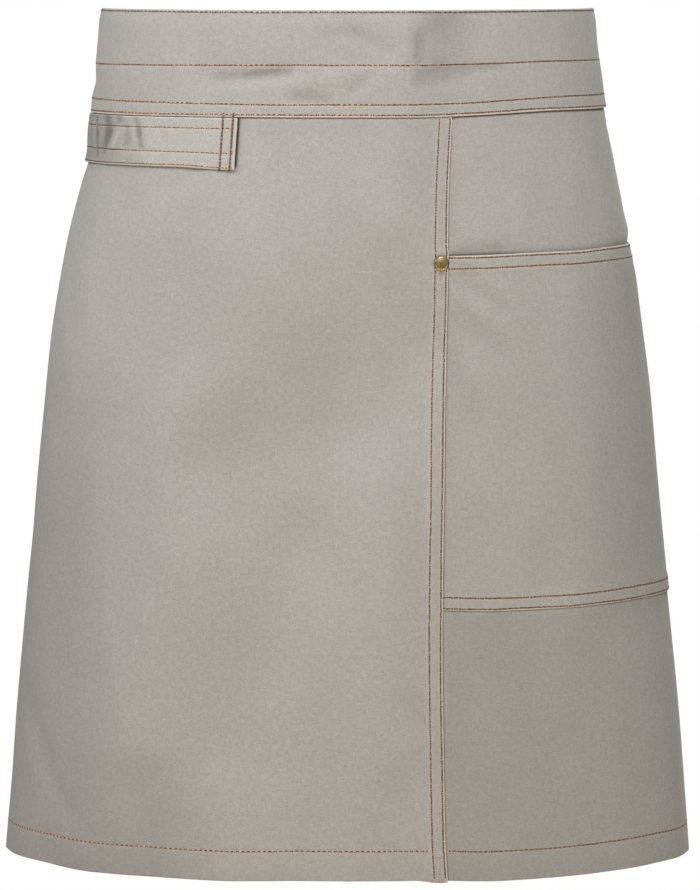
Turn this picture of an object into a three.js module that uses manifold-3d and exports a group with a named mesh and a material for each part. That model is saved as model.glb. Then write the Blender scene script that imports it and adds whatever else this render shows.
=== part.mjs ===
// A waist apron in the form that it has when worn: a folded waistband, a front panel lapped over a side
// panel, a patch pocket, a towel loop, a brass rivet at the pocket's corner, and one plain tie behind.
// Millimetres, +Z up. The front faces -Y, and the origin is the middle of the waist loop.
// A place in the cloth is given by how far it lies across from the centre front, measured round the
// body, and by its drop below the waistband's top edge.
import * as THREE from "three";
import { mergeVertices } from "three/addons/utils/BufferGeometryUtils.js";
import Module from "manifold-3d";

// Driving dimensions
const APRON_LENGTH = 550;
const BAND_HEIGHT = 67.2;
const BAND_REACH = 352;
const CLOTH = 1;
const LAYER_GAP = 0.5;
const SEAM_GAP = 0.5;
const FOLD_EXTRA = 0.9;
const STEP = 1.2;
const BACK_DIP = 4.5;

// Panels
const PANEL_TOP = 58;
const BACK_EDGE_TOP = 349;
const BACK_EDGE_HEM = 420;
const LAP_WIDTH = 9.5;
const UNDERLAP = 9;
const SIDE_HEM = 15;
const HEM_DEPTH = 19;
const FRONT_SPANS = 32;
const SIDE_SPANS = 22;

// Pocket
const POCKET_MOUTH = 154.9;
const POCKET_BOTTOM = 378.3;
const POCKET_FOLD = 9.6;
const POCKET_FOLD_EXTRA = 0.6;
const POCKET_END_MOUTH = 285;
const POCKET_END_BOTTOM = 312;
const POCKET_EASE = 3.2;
const POCKET_GAPE_LEAN = 0.6;
const POCKET_SPANS = 17;

// Towel loop
const LOOP_HEIGHT = 34;
const LOOP_THICKNESS = 1.6;
const LOOP_EASE = 0.8;
const LOOP_FRONT_END_TOP = -69.9;
const LOOP_FRONT_END_BOTTOM = -72;
const LOOP_BACK_END = -265;
const LOOP_SPANS = 26;

// Waistband and tie
const BAND_SPANS = 48;
const BAND_PUFF = 0.5;
const BAND_CLASP = 10;
const BAND_CORNER = 0.8;
const TUNNEL_HEIGHT = 34.3;
const TUNNEL_LINING = -0.9;
const TIE_WIDTH = 28;
const TIE_THICKNESS = 1.6;
const TIE_OVERLAP = 26;
const TIE_SPANS = 22;

// Rivet
const RIVET_DROP = 159.8;
const RIVET_INSET = 4.6;
const RIVET_RADIUS = 4.92;
const RIVET_HEIGHT = 1.7;
const RIVET_RIM = 0.7;
const RIVET_EDGE = 0.3;
const RIVET_DOME_STEPS = 5;
const SHANK_RADIUS = 1.4;
const SHANK_HOLE_RADIUS = 1.7;
const BURR_RADIUS = 4;
const BURR_THICKNESS = 1;
const RIVET_GAP = 0.4;
const RIVET_SIDES = 24;
const DRILL_LENGTH = 20;
const MERGE_DISTANCE = 1e-4;

// The worn form, a row for each level: half width, depth before and behind the side line, and how far
// the sides lean to the right
const FORM = [
  { drop: 0, halfWidth: 158, frontDepth: 116, backDepth: 104, lean: 0 },
  { drop: 34, halfWidth: 161.2, frontDepth: 117.5, backDepth: 107, lean: 0 },
  { drop: 67, halfWidth: 165.4, frontDepth: 119.5, backDepth: 111, lean: 0.8 },
  { drop: 100, halfWidth: 171.3, frontDepth: 121.5, backDepth: 116, lean: 2 },
  { drop: 155, halfWidth: 183, frontDepth: 125.5, backDepth: 124, lean: 0.5 },
  { drop: 210, halfWidth: 191.7, frontDepth: 129, backDepth: 131, lean: -0.4 },
  { drop: 290, halfWidth: 200.3, frontDepth: 133.5, backDepth: 138, lean: -0.2 },
  { drop: 370, halfWidth: 207.7, frontDepth: 137.5, backDepth: 144, lean: 0.2 },
  { drop: 460, halfWidth: 216.5, frontDepth: 141.5, backDepth: 149, lean: 0.4 },
  { drop: 550, halfWidth: 224, frontDepth: 145, backDepth: 153, lean: 0.6 },
];

// The edge of the lapped seam, which bows a little to the left on its way down
const LAP = [
  { drop: 58, edge: 68.2 },
  { drop: 110, edge: 65.4 },
  { drop: 160, edge: 64.8 },
  { drop: 205, edge: 64.7 },
  { drop: 250, edge: 63.1 },
  { drop: 378, edge: 60.4 },
  { drop: 523, edge: 62.3 },
  { drop: 550, edge: 64 },
];

// Levels at which a panel or the pocket has a row of corners, besides those at its edges and folds
const PANEL_LEVELS = [80, 94, 118, 186, 208, 230, 252, 276, 300, 325, 350, 404, 430, 460, 495];

// Where the cloth is drawn up by the right hip, or sags: each starts, is full, ends being full and ends,
// across and down
const LIFTS = [
  { across: [45, 150, 250, 350], drop: [10, 60, 90, 230], rise: 3.3 },
  { across: [45, 100, 140, 240], drop: [200, 370, 560, 600], rise: -2.2 },
  { across: [-220, -170, -80, -30], drop: [400, 540, 560, 600], rise: -1 },
  { across: [-330, -260, -225, -170], drop: [400, 540, 560, 600], rise: 1.3 },
  { across: [150, 200, 260, 350], drop: [100, 150, 170, 230], rise: 1.3 },
];

// Soft folds: each runs from one place in the cloth to another, rising outwards or sinking inwards
const FOLDS = [
  { fromAcross: 36, fromDrop: 10, toAcross: 30, toDrop: 130, reach: 19, rise: 2.8 },
  { fromAcross: 67, fromDrop: 20, toAcross: 64, toDrop: 210, reach: 17, rise: -2.5 },
  { fromAcross: -42, fromDrop: 41, toAcross: -88, toDrop: 46, reach: 13, rise: -1.8 },
  { fromAcross: -200, fromDrop: 49, toAcross: -300, toDrop: 45, reach: 9, rise: -1.5 },
  { fromAcross: -195, fromDrop: 94, toAcross: -300, toDrop: 94, reach: 12, rise: -1.8 },
  { fromAcross: -110, fromDrop: 125, toAcross: -70, toDrop: 150, reach: 45, rise: 4 },
  { fromAcross: 26, fromDrop: 222, toAcross: -67, toDrop: 287, reach: 45, rise: -8.5 },
  { fromAcross: 22, fromDrop: 278, toAcross: -28, toDrop: 322, reach: 38, rise: -4.5 },
  { fromAcross: -32, fromDrop: 357, toAcross: -80, toDrop: 460, reach: 36, rise: -6.5 },
  { fromAcross: -105, fromDrop: 255, toAcross: -118, toDrop: 463, reach: 30, rise: 4.5 },
  { fromAcross: 24, fromDrop: 300, toAcross: 30, toDrop: 460, reach: 26, rise: 4 },
  { fromAcross: 205, fromDrop: 158, toAcross: 260, toDrop: 158, reach: 11, rise: -1.7 },
  { fromAcross: 120, fromDrop: 400, toAcross: 150, toDrop: 540, reach: 45, rise: -2.2 },
  { fromAcross: 215, fromDrop: 180, toAcross: 250, toDrop: 520, reach: 30, rise: 1.6 },
  { fromAcross: 330, fromDrop: 110, toAcross: 385, toDrop: 540, reach: 26, rise: 4 },
  { fromAcross: -325, fromDrop: 110, toAcross: -380, toDrop: 540, reach: 26, rise: 4 },
];

const lerp = THREE.MathUtils.lerp;
const twill = new THREE.MeshStandardMaterial({ color: 0xb0aaa2, roughness: 0.85, metalness: 0 });
const brass = new THREE.MeshStandardMaterial({ color: 0xa5873c, roughness: 0.35, metalness: 1 });

// A smooth curve through one column of a table
function columnAt(rows, key, drop) {
  const last = rows.length - 1;
  const found = rows.findIndex((row) => row.drop > drop);
  const i = found < 0 ? last - 1 : Math.max(found - 1, 0);
  const slope = (k) => {
    const before = rows[Math.max(k - 1, 0)];
    const after = rows[Math.min(k + 1, last)];
    return (after[key] - before[key]) / (after.drop - before.drop);
  };
  const span = rows[i + 1].drop - rows[i].drop;
  const t = (drop - rows[i].drop) / span;
  const ease = t * t * (3 - 2 * t);
  const leave = t * (1 - t) * (1 - t) * span * slope(i);
  const arrive = t * t * (t - 1) * span * slope(i + 1);
  return lerp(rows[i][key], rows[i + 1][key], ease) + leave + arrive;
}

// The level section at one drop, with the distance round it to each of many small angles from the front
const ANGLE_STEPS = 360;
const sections = new Map();
function sectionAt(drop) {
  if (sections.has(drop)) return sections.get(drop);
  const halfWidth = columnAt(FORM, "halfWidth", drop);
  const frontDepth = columnAt(FORM, "frontDepth", drop);
  const backDepth = columnAt(FORM, "backDepth", drop);
  const lean = columnAt(FORM, "lean", drop);
  const place = (angle) => {
    const depth = angle < Math.PI / 2 ? frontDepth : backDepth;
    return new THREE.Vector2(halfWidth * Math.sin(angle), -depth * Math.cos(angle));
  };
  const round = [0];
  for (let i = 1; i <= ANGLE_STEPS; i += 1) {
    const from = place((Math.PI * (i - 1)) / ANGLE_STEPS);
    const to = place((Math.PI * i) / ANGLE_STEPS);
    round.push(round[i - 1] + from.distanceTo(to));
  }
  const halfRound = round[ANGLE_STEPS];
  const section = { halfWidth, frontDepth, backDepth, lean, place, round, halfRound };
  sections.set(drop, section);
  return section;
}

function angleAt(section, distance) {
  const found = section.round.findIndex((round) => round > distance);
  const i = found < 0 ? ANGLE_STEPS : found;
  const share = (distance - section.round[i - 1]) / (section.round[i] - section.round[i - 1]);
  return (Math.PI * (i - 1 + share)) / ANGLE_STEPS;
}

// How far all the folds together lift the cloth at one place
function foldRise(across, drop) {
  const spot = new THREE.Vector2(across, drop);
  let rise = 0;
  for (const fold of FOLDS) {
    const from = new THREE.Vector2(fold.fromAcross, fold.fromDrop);
    const run = new THREE.Vector2(fold.toAcross, fold.toDrop).sub(from);
    const along = THREE.MathUtils.clamp(spot.clone().sub(from).dot(run) / run.lengthSq(), 0, 1);
    const away = spot.distanceTo(from.addScaledVector(run, along)) / fold.reach;
    rise += fold.rise * Math.exp(-away * away);
  }
  return rise;
}

// Nought outside the span, one in its middle, with a soft change between
function plateau(span, value) {
  const [start, full, fullTo, end] = span;
  const { smoothstep } = THREE.MathUtils;
  return smoothstep(value, start, full) * (1 - smoothstep(value, fullTo, end));
}

function liftAt(across, drop) {
  let lift = 0;
  for (const spot of LIFTS) lift += spot.rise * plateau(spot.across, across) * plateau(spot.drop, drop);
  return lift;
}

// A point of the worn cloth, offset outwards from the face that lies nearest the body
function clothPoint(across, drop, offset) {
  const section = sectionAt(drop);
  const shortest = across > section.halfRound ? across - 2 * section.halfRound : across;
  const side = shortest < 0 ? -1 : 1;
  const angle = angleAt(section, Math.abs(shortest));
  const depth = angle < Math.PI / 2 ? section.frontDepth : section.backDepth;
  const outward = new THREE.Vector2(Math.sin(angle) / section.halfWidth, -Math.cos(angle) / depth);
  outward.normalize();
  const place = section.place(angle).addScaledVector(outward, offset + foldRise(shortest, drop));
  const dip = BACK_DIP * Math.max(0, -Math.cos(angle));
  const height = BAND_HEIGHT / 2 - drop - dip + liftAt(shortest, drop);
  const lean = section.lean * Math.sin(angle) ** 2;
  return new THREE.Vector3(side * place.x + lean, place.y, height);
}

// A closed body of cloth: on each of its lines, rows of one point on the skin and one on the lining
function clothBody(lines, rowsAt) {
  const positions = [];
  const triangles = [];
  let rowCount = 0;
  lines.forEach((acrossAt, index) => {
    const rows = rowsAt(index);
    rowCount = rows.length;
    const ring = [...rows.map((row) => row.skin), ...rows.map((row) => row.lining).reverse()];
    for (const { drop, offset } of ring) positions.push(...clothPoint(acrossAt(drop), drop, offset));
  });
  const ringSize = 2 * rowCount;
  const quad = (a, b, c, d) => triangles.push(a, b, c, a, c, d);
  for (let line = 0; line < lines.length - 1; line += 1) {
    const here = line * ringSize;
    const next = here + ringSize;
    for (let k = 0; k < ringSize; k += 1) {
      const after = (k + 1) % ringSize;
      quad(here + k, here + after, next + after, next + k);
    }
  }
  const end = (lines.length - 1) * ringSize;
  for (let k = 0; k < rowCount - 1; k += 1) {
    const across = ringSize - 1 - k;
    quad(k, across, across - 1, k + 1);
    quad(end + k, end + k + 1, end + across - 1, end + across);
  }
  const geometry = new THREE.BufferGeometry();
  geometry.setAttribute("position", new THREE.Float32BufferAttribute(positions, 3));
  geometry.setIndex(triangles);
  return geometry;
}

// Lines down a piece: close beside the inner side of each folded edge, and evenly between the folds
function linesBetween(left, leftFold, right, rightFold, spans) {
  const lines = [];
  const leftInsets = leftFold > 0 ? [0, leftFold, leftFold + STEP] : [0];
  const rightInsets = rightFold > 0 ? [rightFold + STEP, rightFold, 0] : [0];
  const leftInner = leftInsets.at(-1);
  const rightInner = rightInsets[0];
  for (const inset of leftInsets) lines.push((drop) => left(drop) + inset);
  for (let i = 1; i < spans; i += 1) {
    lines.push((drop) => lerp(left(drop) + leftInner, right(drop) - rightInner, i / spans));
  }
  for (const inset of rightInsets) lines.push((drop) => right(drop) - inset);
  return lines;
}

const lapEdge = (drop) => columnAt(LAP, "edge", drop);
const backEdge = (drop) => {
  const share = (drop - PANEL_TOP) / (APRON_LENGTH - PANEL_TOP);
  return lerp(BACK_EDGE_TOP, BACK_EDGE_HEM, share);
};
const row = (drop, skin, lining) => ({ skin: { drop, offset: skin }, lining: { drop, offset: lining } });

// Panels: single cloth, doubled inwards at the hem and the back edge, and outwards at the lapped seam
const FOLD_START = BAND_HEIGHT + 2.5 * STEP;
const HEM_FOLD = APRON_LENGTH - HEM_DEPTH;
const MOUTH_FOLD = POCKET_MOUTH + POCKET_FOLD;
const BOTTOM_FOLD = POCKET_BOTTOM - POCKET_FOLD;
const PANEL_DROPS = [PANEL_TOP, BAND_HEIGHT, FOLD_START, ...PANEL_LEVELS];
PANEL_DROPS.push(POCKET_MOUTH, MOUTH_FOLD, BOTTOM_FOLD, POCKET_BOTTOM);
PANEL_DROPS.push(HEM_FOLD - STEP, HEM_FOLD, APRON_LENGTH);
PANEL_DROPS.sort((a, b) => a - b);
const SIDE_LEVEL = -CLOTH - SEAM_GAP;

function panelRows(level, lapped, hemmed) {
  return PANEL_DROPS.map((drop) => {
    const belowBand = drop >= FOLD_START;
    const folded = (drop >= HEM_FOLD && !lapped) || (hemmed && belowBand);
    const skin = level + CLOTH + (lapped && belowBand ? FOLD_EXTRA : 0);
    return row(drop, skin, level - (folded ? FOLD_EXTRA : 0));
  });
}

function mainPanel() {
  const lines = linesBetween((drop) => -backEdge(drop), SIDE_HEM, lapEdge, LAP_WIDTH, FRONT_SPANS);
  return clothBody(lines, (index) => panelRows(0, index > lines.length - 3, index < 2));
}

function sidePanel() {
  const left = (drop) => lapEdge(drop) - UNDERLAP;
  const lines = linesBetween(left, UNDERLAP, backEdge, SIDE_HEM, SIDE_SPANS);
  return clothBody(lines, (index) => panelRows(SIDE_LEVEL, false, index > lines.length - 3));
}

// Pocket: a patch on the side panel that stands off a little at its mouth
function pocket() {
  const endAt = (drop) => {
    const share = (drop - POCKET_MOUTH) / (POCKET_BOTTOM - POCKET_MOUTH);
    return lerp(POCKET_END_MOUTH, POCKET_END_BOTTOM, share);
  };
  const lines = linesBetween((drop) => lapEdge(drop) + LAYER_GAP, 0, endAt, 0, POCKET_SPANS);
  const inner = PANEL_LEVELS.filter((level) => level > MOUTH_FOLD + STEP && level < BOTTOM_FOLD - STEP);
  const drops = [POCKET_MOUTH, MOUTH_FOLD, MOUTH_FOLD + STEP, ...inner];
  drops.push(BOTTOM_FOLD - STEP, BOTTOM_FOLD, POCKET_BOTTOM);
  return clothBody(lines, (index) => {
    const share = index / (lines.length - 1);
    const gape = POCKET_EASE * Math.sin(Math.PI * Math.pow(share, POCKET_GAPE_LEAN));
    return drops.map((drop) => {
      const fall = (drop - POCKET_MOUTH) / (POCKET_BOTTOM - POCKET_MOUTH);
      const lining = SIDE_LEVEL + CLOTH + LAYER_GAP + gape * (1 - fall) * (1 - fall);
      const folded = drop <= MOUTH_FOLD || drop >= BOTTOM_FOLD;
      return row(drop, lining + CLOTH + (folded ? POCKET_FOLD_EXTRA : 0), lining);
    });
  });
}

// Waistband: one strip folded at the top, its two lower edges clasping the panels
const BAND_SKIN = 2 * CLOTH + LAYER_GAP;
const CLASP_LINING = SIDE_LEVEL - LAYER_GAP;

function waistband() {
  const lines = linesBetween(() => -BAND_REACH, 0, () => BAND_REACH, 0, BAND_SPANS);
  const claspTop = BAND_HEIGHT - BAND_CLASP;
  const inside = (drop, lining) => row(drop, lining - CLOTH, lining);
  const outside = (drop, puff) => row(drop, BAND_SKIN + puff, BAND_SKIN + puff - CLOTH);
  const tunnelSkin = BAND_SKIN - CLOTH;
  const corner = (skinDrop, skin, liningDrop, lining) => ({
    skin: { drop: skinDrop, offset: skin },
    lining: { drop: liningDrop, offset: lining },
  });
  const topFold = [
    corner(CLOTH, TUNNEL_LINING - CLOTH, CLOTH + BAND_CORNER, TUNNEL_LINING),
    corner(0, TUNNEL_LINING, CLOTH, TUNNEL_LINING + BAND_CORNER),
    corner(0, tunnelSkin, CLOTH, tunnelSkin - BAND_CORNER),
    corner(CLOTH, BAND_SKIN, CLOTH + BAND_CORNER, tunnelSkin),
  ];
  const rows = [
    inside(BAND_HEIGHT, CLASP_LINING),
    inside(claspTop, CLASP_LINING),
    inside(claspTop - BAND_CLASP, TUNNEL_LINING),
    inside(TUNNEL_HEIGHT / 2, TUNNEL_LINING),
    ...topFold,
    outside(TUNNEL_HEIGHT / 2, BAND_PUFF),
    outside(TUNNEL_HEIGHT, 0),
    outside((TUNNEL_HEIGHT + claspTop) / 2, BAND_PUFF),
    outside(claspTop, 0),
    outside(BAND_HEIGHT, 0),
  ];
  return clothBody(lines, () => rows);
}

// Towel loop: a flat strap on the main panel, close under the waistband
function towelLoop() {
  const top = BAND_HEIGHT + LAYER_GAP;
  const frontEnd = (drop) => lerp(LOOP_FRONT_END_TOP, LOOP_FRONT_END_BOTTOM, (drop - top) / LOOP_HEIGHT);
  const lines = linesBetween(() => LOOP_BACK_END, 0, frontEnd, 0, LOOP_SPANS);
  const drops = [0, 0.25, 0.5, 0.75, 1].map((share) => top + share * LOOP_HEIGHT);
  return clothBody(lines, (index) => {
    const ease = LOOP_EASE * Math.sin((Math.PI * index) / (lines.length - 1));
    const lining = CLOTH + LAYER_GAP + ease;
    return drops.map((drop) => row(drop, lining + LOOP_THICKNESS, lining));
  });
}

// Tie: a plain strap that leaves each end of the waistband's tunnel and closes the loop behind
function backTie() {
  const start = BAND_REACH - TIE_OVERLAP;
  const finish = (drop) => 2 * sectionAt(drop).halfRound - start;
  const lines = linesBetween(() => start, 0, finish, 0, TIE_SPANS);
  const top = (TUNNEL_HEIGHT - TIE_WIDTH) / 2 + CLOTH;
  const drops = [top, top + TIE_WIDTH / 2, top + TIE_WIDTH];
  const lining = (TUNNEL_LINING + BAND_SKIN - CLOTH - TIE_THICKNESS) / 2;
  return clothBody(lines, () => drops.map((drop) => row(drop, lining + TIE_THICKNESS, lining)));
}

// Rivet: a flat cap with a rounded edge outside, a shank through both panels and a burr inside
const RIVET_ACROSS = lapEdge(RIVET_DROP) - RIVET_INSET;
const LAP_SKIN = CLOTH + FOLD_EXTRA;

function rivetSeat() {
  const seat = clothPoint(RIVET_ACROSS, RIVET_DROP, LAP_SKIN);
  const across = clothPoint(RIVET_ACROSS + STEP, RIVET_DROP, LAP_SKIN).sub(seat);
  const down = clothPoint(RIVET_ACROSS, RIVET_DROP + STEP, LAP_SKIN).sub(seat);
  const outward = down.cross(across).normalize();
  const turn = new THREE.Quaternion().setFromUnitVectors(new THREE.Vector3(0, 1, 0), outward);
  return { seat, turn };
}

function rivet() {
  const burrTop = SIDE_LEVEL - LAP_SKIN - RIVET_GAP;
  const domeBase = RIVET_GAP + RIVET_RIM;
  const profile = [
    [0, burrTop - BURR_THICKNESS],
    [BURR_RADIUS, burrTop - BURR_THICKNESS],
    [BURR_RADIUS, burrTop],
    [SHANK_RADIUS, burrTop],
    [SHANK_RADIUS, RIVET_GAP],
    [RIVET_RADIUS - RIVET_EDGE, RIVET_GAP],
    [RIVET_RADIUS, RIVET_GAP + RIVET_EDGE],
  ];
  for (let i = 0; i < RIVET_DOME_STEPS; i += 1) {
    const turn = (Math.PI / 2) * (i / RIVET_DOME_STEPS);
    profile.push([RIVET_RADIUS * Math.cos(turn), domeBase + (RIVET_HEIGHT - domeBase) * Math.sin(turn)]);
  }
  profile.push([0, RIVET_HEIGHT]);
  const points = profile.map(([radius, height]) => new THREE.Vector2(radius, height));
  return new THREE.LatheGeometry(points, RIVET_SIDES);
}

// Only the places of the corners, with shared corners merged
function plainGeometry(geometry) {
  const plain = geometry.clone();
  plain.deleteAttribute("normal");
  plain.deleteAttribute("uv");
  return mergeVertices(plain, MERGE_DISTANCE);
}

const wasm = await Module();
wasm.setup();

function solidOf(geometry) {
  const plain = plainGeometry(geometry);
  const vertProperties = new Float32Array(plain.attributes.position.array);
  const triVerts = new Uint32Array(plain.index.array);
  return new wasm.Manifold(new wasm.Mesh({ numProp: 3, vertProperties, triVerts }));
}

// The hole for the rivet's shank through one layer of cloth
function withShankHole(geometry, { seat, turn }) {
  const radius = SHANK_HOLE_RADIUS;
  const drill = new THREE.CylinderGeometry(radius, radius, DRILL_LENGTH, RIVET_SIDES / 2);
  drill.applyQuaternion(turn);
  drill.translate(seat.x, seat.y, seat.z);
  const cut = solidOf(geometry).subtract(solidOf(drill)).getMesh();
  const result = new THREE.BufferGeometry();
  result.setAttribute("position", new THREE.BufferAttribute(new Float32Array(cut.vertProperties), 3));
  result.setIndex(new THREE.BufferAttribute(new Uint32Array(cut.triVerts), 1));
  return result;
}

const apron = new THREE.Group();

function addPiece(name, geometry, material) {
  const piece = new THREE.Mesh(geometry, material);
  piece.name = name;
  apron.add(piece);
  return piece;
}

const seating = rivetSeat();
addPiece("main_panel", withShankHole(mainPanel(), seating), twill);
addPiece("side_panel", withShankHole(sidePanel(), seating), twill);
addPiece("pocket", pocket(), twill);
addPiece("waistband", waistband(), twill);
addPiece("towel_loop", towelLoop(), twill);
addPiece("back_tie", backTie(), twill);
const rivetPiece = addPiece("rivet", plainGeometry(rivet()), brass);
rivetPiece.position.copy(seating.seat);
rivetPiece.quaternion.copy(seating.turn);

export default apron;
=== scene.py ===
import math

import bmesh
import bpy
import numpy as np
from mathutils import Matrix, Vector


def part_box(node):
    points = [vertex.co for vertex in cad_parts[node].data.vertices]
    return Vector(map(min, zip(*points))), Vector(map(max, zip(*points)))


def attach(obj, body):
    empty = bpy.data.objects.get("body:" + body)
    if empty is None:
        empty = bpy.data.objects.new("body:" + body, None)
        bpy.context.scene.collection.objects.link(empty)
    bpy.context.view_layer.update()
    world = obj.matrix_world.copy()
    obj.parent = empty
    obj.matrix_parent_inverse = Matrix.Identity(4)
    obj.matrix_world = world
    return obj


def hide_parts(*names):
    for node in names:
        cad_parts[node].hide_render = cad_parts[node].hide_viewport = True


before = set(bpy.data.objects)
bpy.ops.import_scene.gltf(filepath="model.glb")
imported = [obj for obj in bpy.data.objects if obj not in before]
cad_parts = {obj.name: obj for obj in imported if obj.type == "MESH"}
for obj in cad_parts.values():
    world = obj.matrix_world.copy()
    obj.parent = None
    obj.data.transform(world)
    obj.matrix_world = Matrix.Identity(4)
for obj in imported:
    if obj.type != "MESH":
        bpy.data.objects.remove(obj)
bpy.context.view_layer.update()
mm = 0.001
rng = np.random.default_rng(41)
print("frame loaded:", ", ".join(sorted(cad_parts)))

# Lengths below are in millimetres. A place in the cloth is given by how far it lies across from the
# centre front, measured round the waist, and by its drop below the waistband's top edge.

# Worn form at each drop: half width, depth before and behind the side line, lean of the sides to the right
wornForm = {
    "drop": [0, 34, 67, 100, 155, 210, 290, 370, 460, 550],
    "halfWidth": [158, 161.2, 165.4, 171.3, 183, 191.7, 200.3, 207.7, 216.5, 224],
    "frontDepth": [116, 117.5, 119.5, 121.5, 125.5, 129, 133.5, 137.5, 141.5, 145],
    "backDepth": [104, 107, 111, 116, 124, 131, 138, 144, 149, 153],
    "lean": [0, 0, 0.8, 2, 0.5, -0.4, -0.2, 0.2, 0.4, 0.6],
    "backDip": 4.5,  # the back hangs a little lower than the front
    "topHeight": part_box("waistband")[1].z / mm,
}

# Where the cloth is drawn up by the right hip or sags: four places across and four down, between which
# the lift grows, holds and fades, and its rise
clothLifts = [
    ((45, 150, 250, 350), (10, 60, 90, 230), 3.3),
    ((45, 100, 140, 240), (200, 370, 560, 600), -2.2),
    ((-220, -170, -80, -30), (400, 540, 560, 600), -1.0),
    ((-330, -260, -225, -170), (400, 540, 560, 600), 1.3),
    ((150, 200, 260, 350), (100, 150, 170, 230), 1.3),
]
topEase = {"rise": 0.4, "reach": 14}  # the folded top edge stands a little higher

# Folds of the worn cloth: from place, to place, reach to either side, rise (below zero sinks in)
softFolds = [
    (36, 10, 30, 130, 19, 2.8),
    (67, 20, 64, 210, 17, -2.5),
    (-42, 41, -88, 46, 13, -1.8),
    (-200, 49, -300, 45, 9, -1.5),
    (-195, 94, -300, 94, 12, -1.8),
    (-110, 125, -70, 150, 45, 4),
    (26, 222, -67, 287, 45, -8.5),
    (22, 278, -28, 322, 38, -4.5),
    (-32, 357, -80, 460, 36, -6.5),
    (-105, 255, -118, 463, 30, 4.5),
    (24, 300, 30, 460, 26, 4),
    (205, 158, 260, 158, 11, -1.7),
    (120, 400, 150, 540, 45, -2.2),
    (215, 180, 250, 520, 30, 1.6),
    (330, 110, 385, 540, 26, 4),
    (-325, 110, -380, 540, 26, 4),
]

# Low waves of cloth that hangs, summed
clothWaves = {
    "longest": 150,
    "shortest": 34,
    "count": 9,
    "height": 0.11,
    "turn": 0.9,  # radians that a wave may run out of level
    "grow": (60, 130),  # drops over which the waves set in
}
roundDrops = np.arange(-5, 566, 5.0)  # where the distance round the waist is turned into an angle
roundSteps = 720
tableMargin = 0.001  # keeps a look-up just inside the table


def smooth(low, high, value):
    share = np.clip((value - low) / (high - low), 0, 1)
    return share * share * (3 - 2 * share)


def fade(low, high, value):
    return 1 - smooth(low, high, value)


def plateau(span, value):
    return smooth(span[0], span[1], value) * fade(span[2], span[3], value)


def bell(away, reach):
    return np.exp(-((away / reach) ** 2))


def columnAt(table, key, drop):
    drops = np.array(table["drop"], float)
    values = np.array(table[key], float)
    last = len(drops) - 1
    before = np.maximum(np.arange(last + 1) - 1, 0)
    after = np.minimum(np.arange(last + 1) + 1, last)
    slopes = (values[after] - values[before]) / (drops[after] - drops[before])
    i = np.clip(np.searchsorted(drops, drop, side="right") - 1, 0, last - 1)
    span = drops[i + 1] - drops[i]
    t = (drop - drops[i]) / span
    ease = t * t * (3 - 2 * t)
    leave = t * (1 - t) ** 2 * span * slopes[i]
    arrive = t * t * (t - 1) * span * slopes[i + 1]
    return values[i] + (values[i + 1] - values[i]) * ease + leave + arrive


def measureRound():
    angles = np.linspace(0, np.pi, roundSteps + 1)
    halfWidth, frontDepth, backDepth = (
        columnAt(wornForm, key, roundDrops)[:, None] for key in ("halfWidth", "frontDepth", "backDepth")
    )
    x = halfWidth * np.sin(angles)
    y = -np.where(angles < np.pi / 2, frontDepth, backDepth) * np.cos(angles)
    steps = np.hypot(np.diff(x, axis=1), np.diff(y, axis=1))
    away = np.concatenate([np.zeros((len(roundDrops), 1)), np.cumsum(steps, axis=1)], axis=1)
    shares = np.linspace(0, 1, roundSteps + 1)
    angleTable = np.array([np.interp(shares, line / line[-1], angles) for line in away])
    return away[:, -1], angleTable


halfRounds, angleTable = measureRound()


def halfRoundAt(drop):
    return np.interp(drop, roundDrops, halfRounds)


def angleAround(share, drop):
    level = (drop - roundDrops[0]) / (roundDrops[1] - roundDrops[0])
    level = np.clip(level, 0, len(roundDrops) - 1 - tableMargin)
    column = np.clip(share, 0, 1) * (roundSteps - tableMargin)
    i = level.astype(int)
    j = column.astype(int)
    down = level - i
    along = column - j
    upper = angleTable[i, j] * (1 - along) + angleTable[i, j + 1] * along
    lower = angleTable[i + 1, j] * (1 - along) + angleTable[i + 1, j + 1] * along
    return upper * (1 - down) + lower * down


def creaseRise(creases, across, drop):
    rise = np.zeros_like(across)
    for fromAcross, fromDrop, toAcross, toDrop, reach, height in creases:
        runAcross = toAcross - fromAcross
        runDrop = toDrop - fromDrop
        share = (across - fromAcross) * runAcross + (drop - fromDrop) * runDrop
        share = np.clip(share / (runAcross**2 + runDrop**2), 0, 1)
        away = np.hypot(across - fromAcross - share * runAcross, drop - fromDrop - share * runDrop)
        rise += height * bell(away, reach)
    return rise


def makeWaves():
    lengths = np.geomspace(clothWaves["longest"], clothWaves["shortest"], clothWaves["count"])
    turns = rng.uniform(-clothWaves["turn"], clothWaves["turn"], clothWaves["count"])
    starts = rng.uniform(0, 2 * np.pi, clothWaves["count"])
    return list(zip(lengths, turns, starts))


waves = makeWaves()


def waveRise(across, drop):
    rise = np.zeros_like(across)
    for length, turn, start in waves:
        phase = (across * math.cos(turn) + drop * math.sin(turn)) * 2 * np.pi / length + start
        rise += clothWaves["height"] * np.sin(phase)
    return rise * smooth(*clothWaves["grow"], drop)


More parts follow.
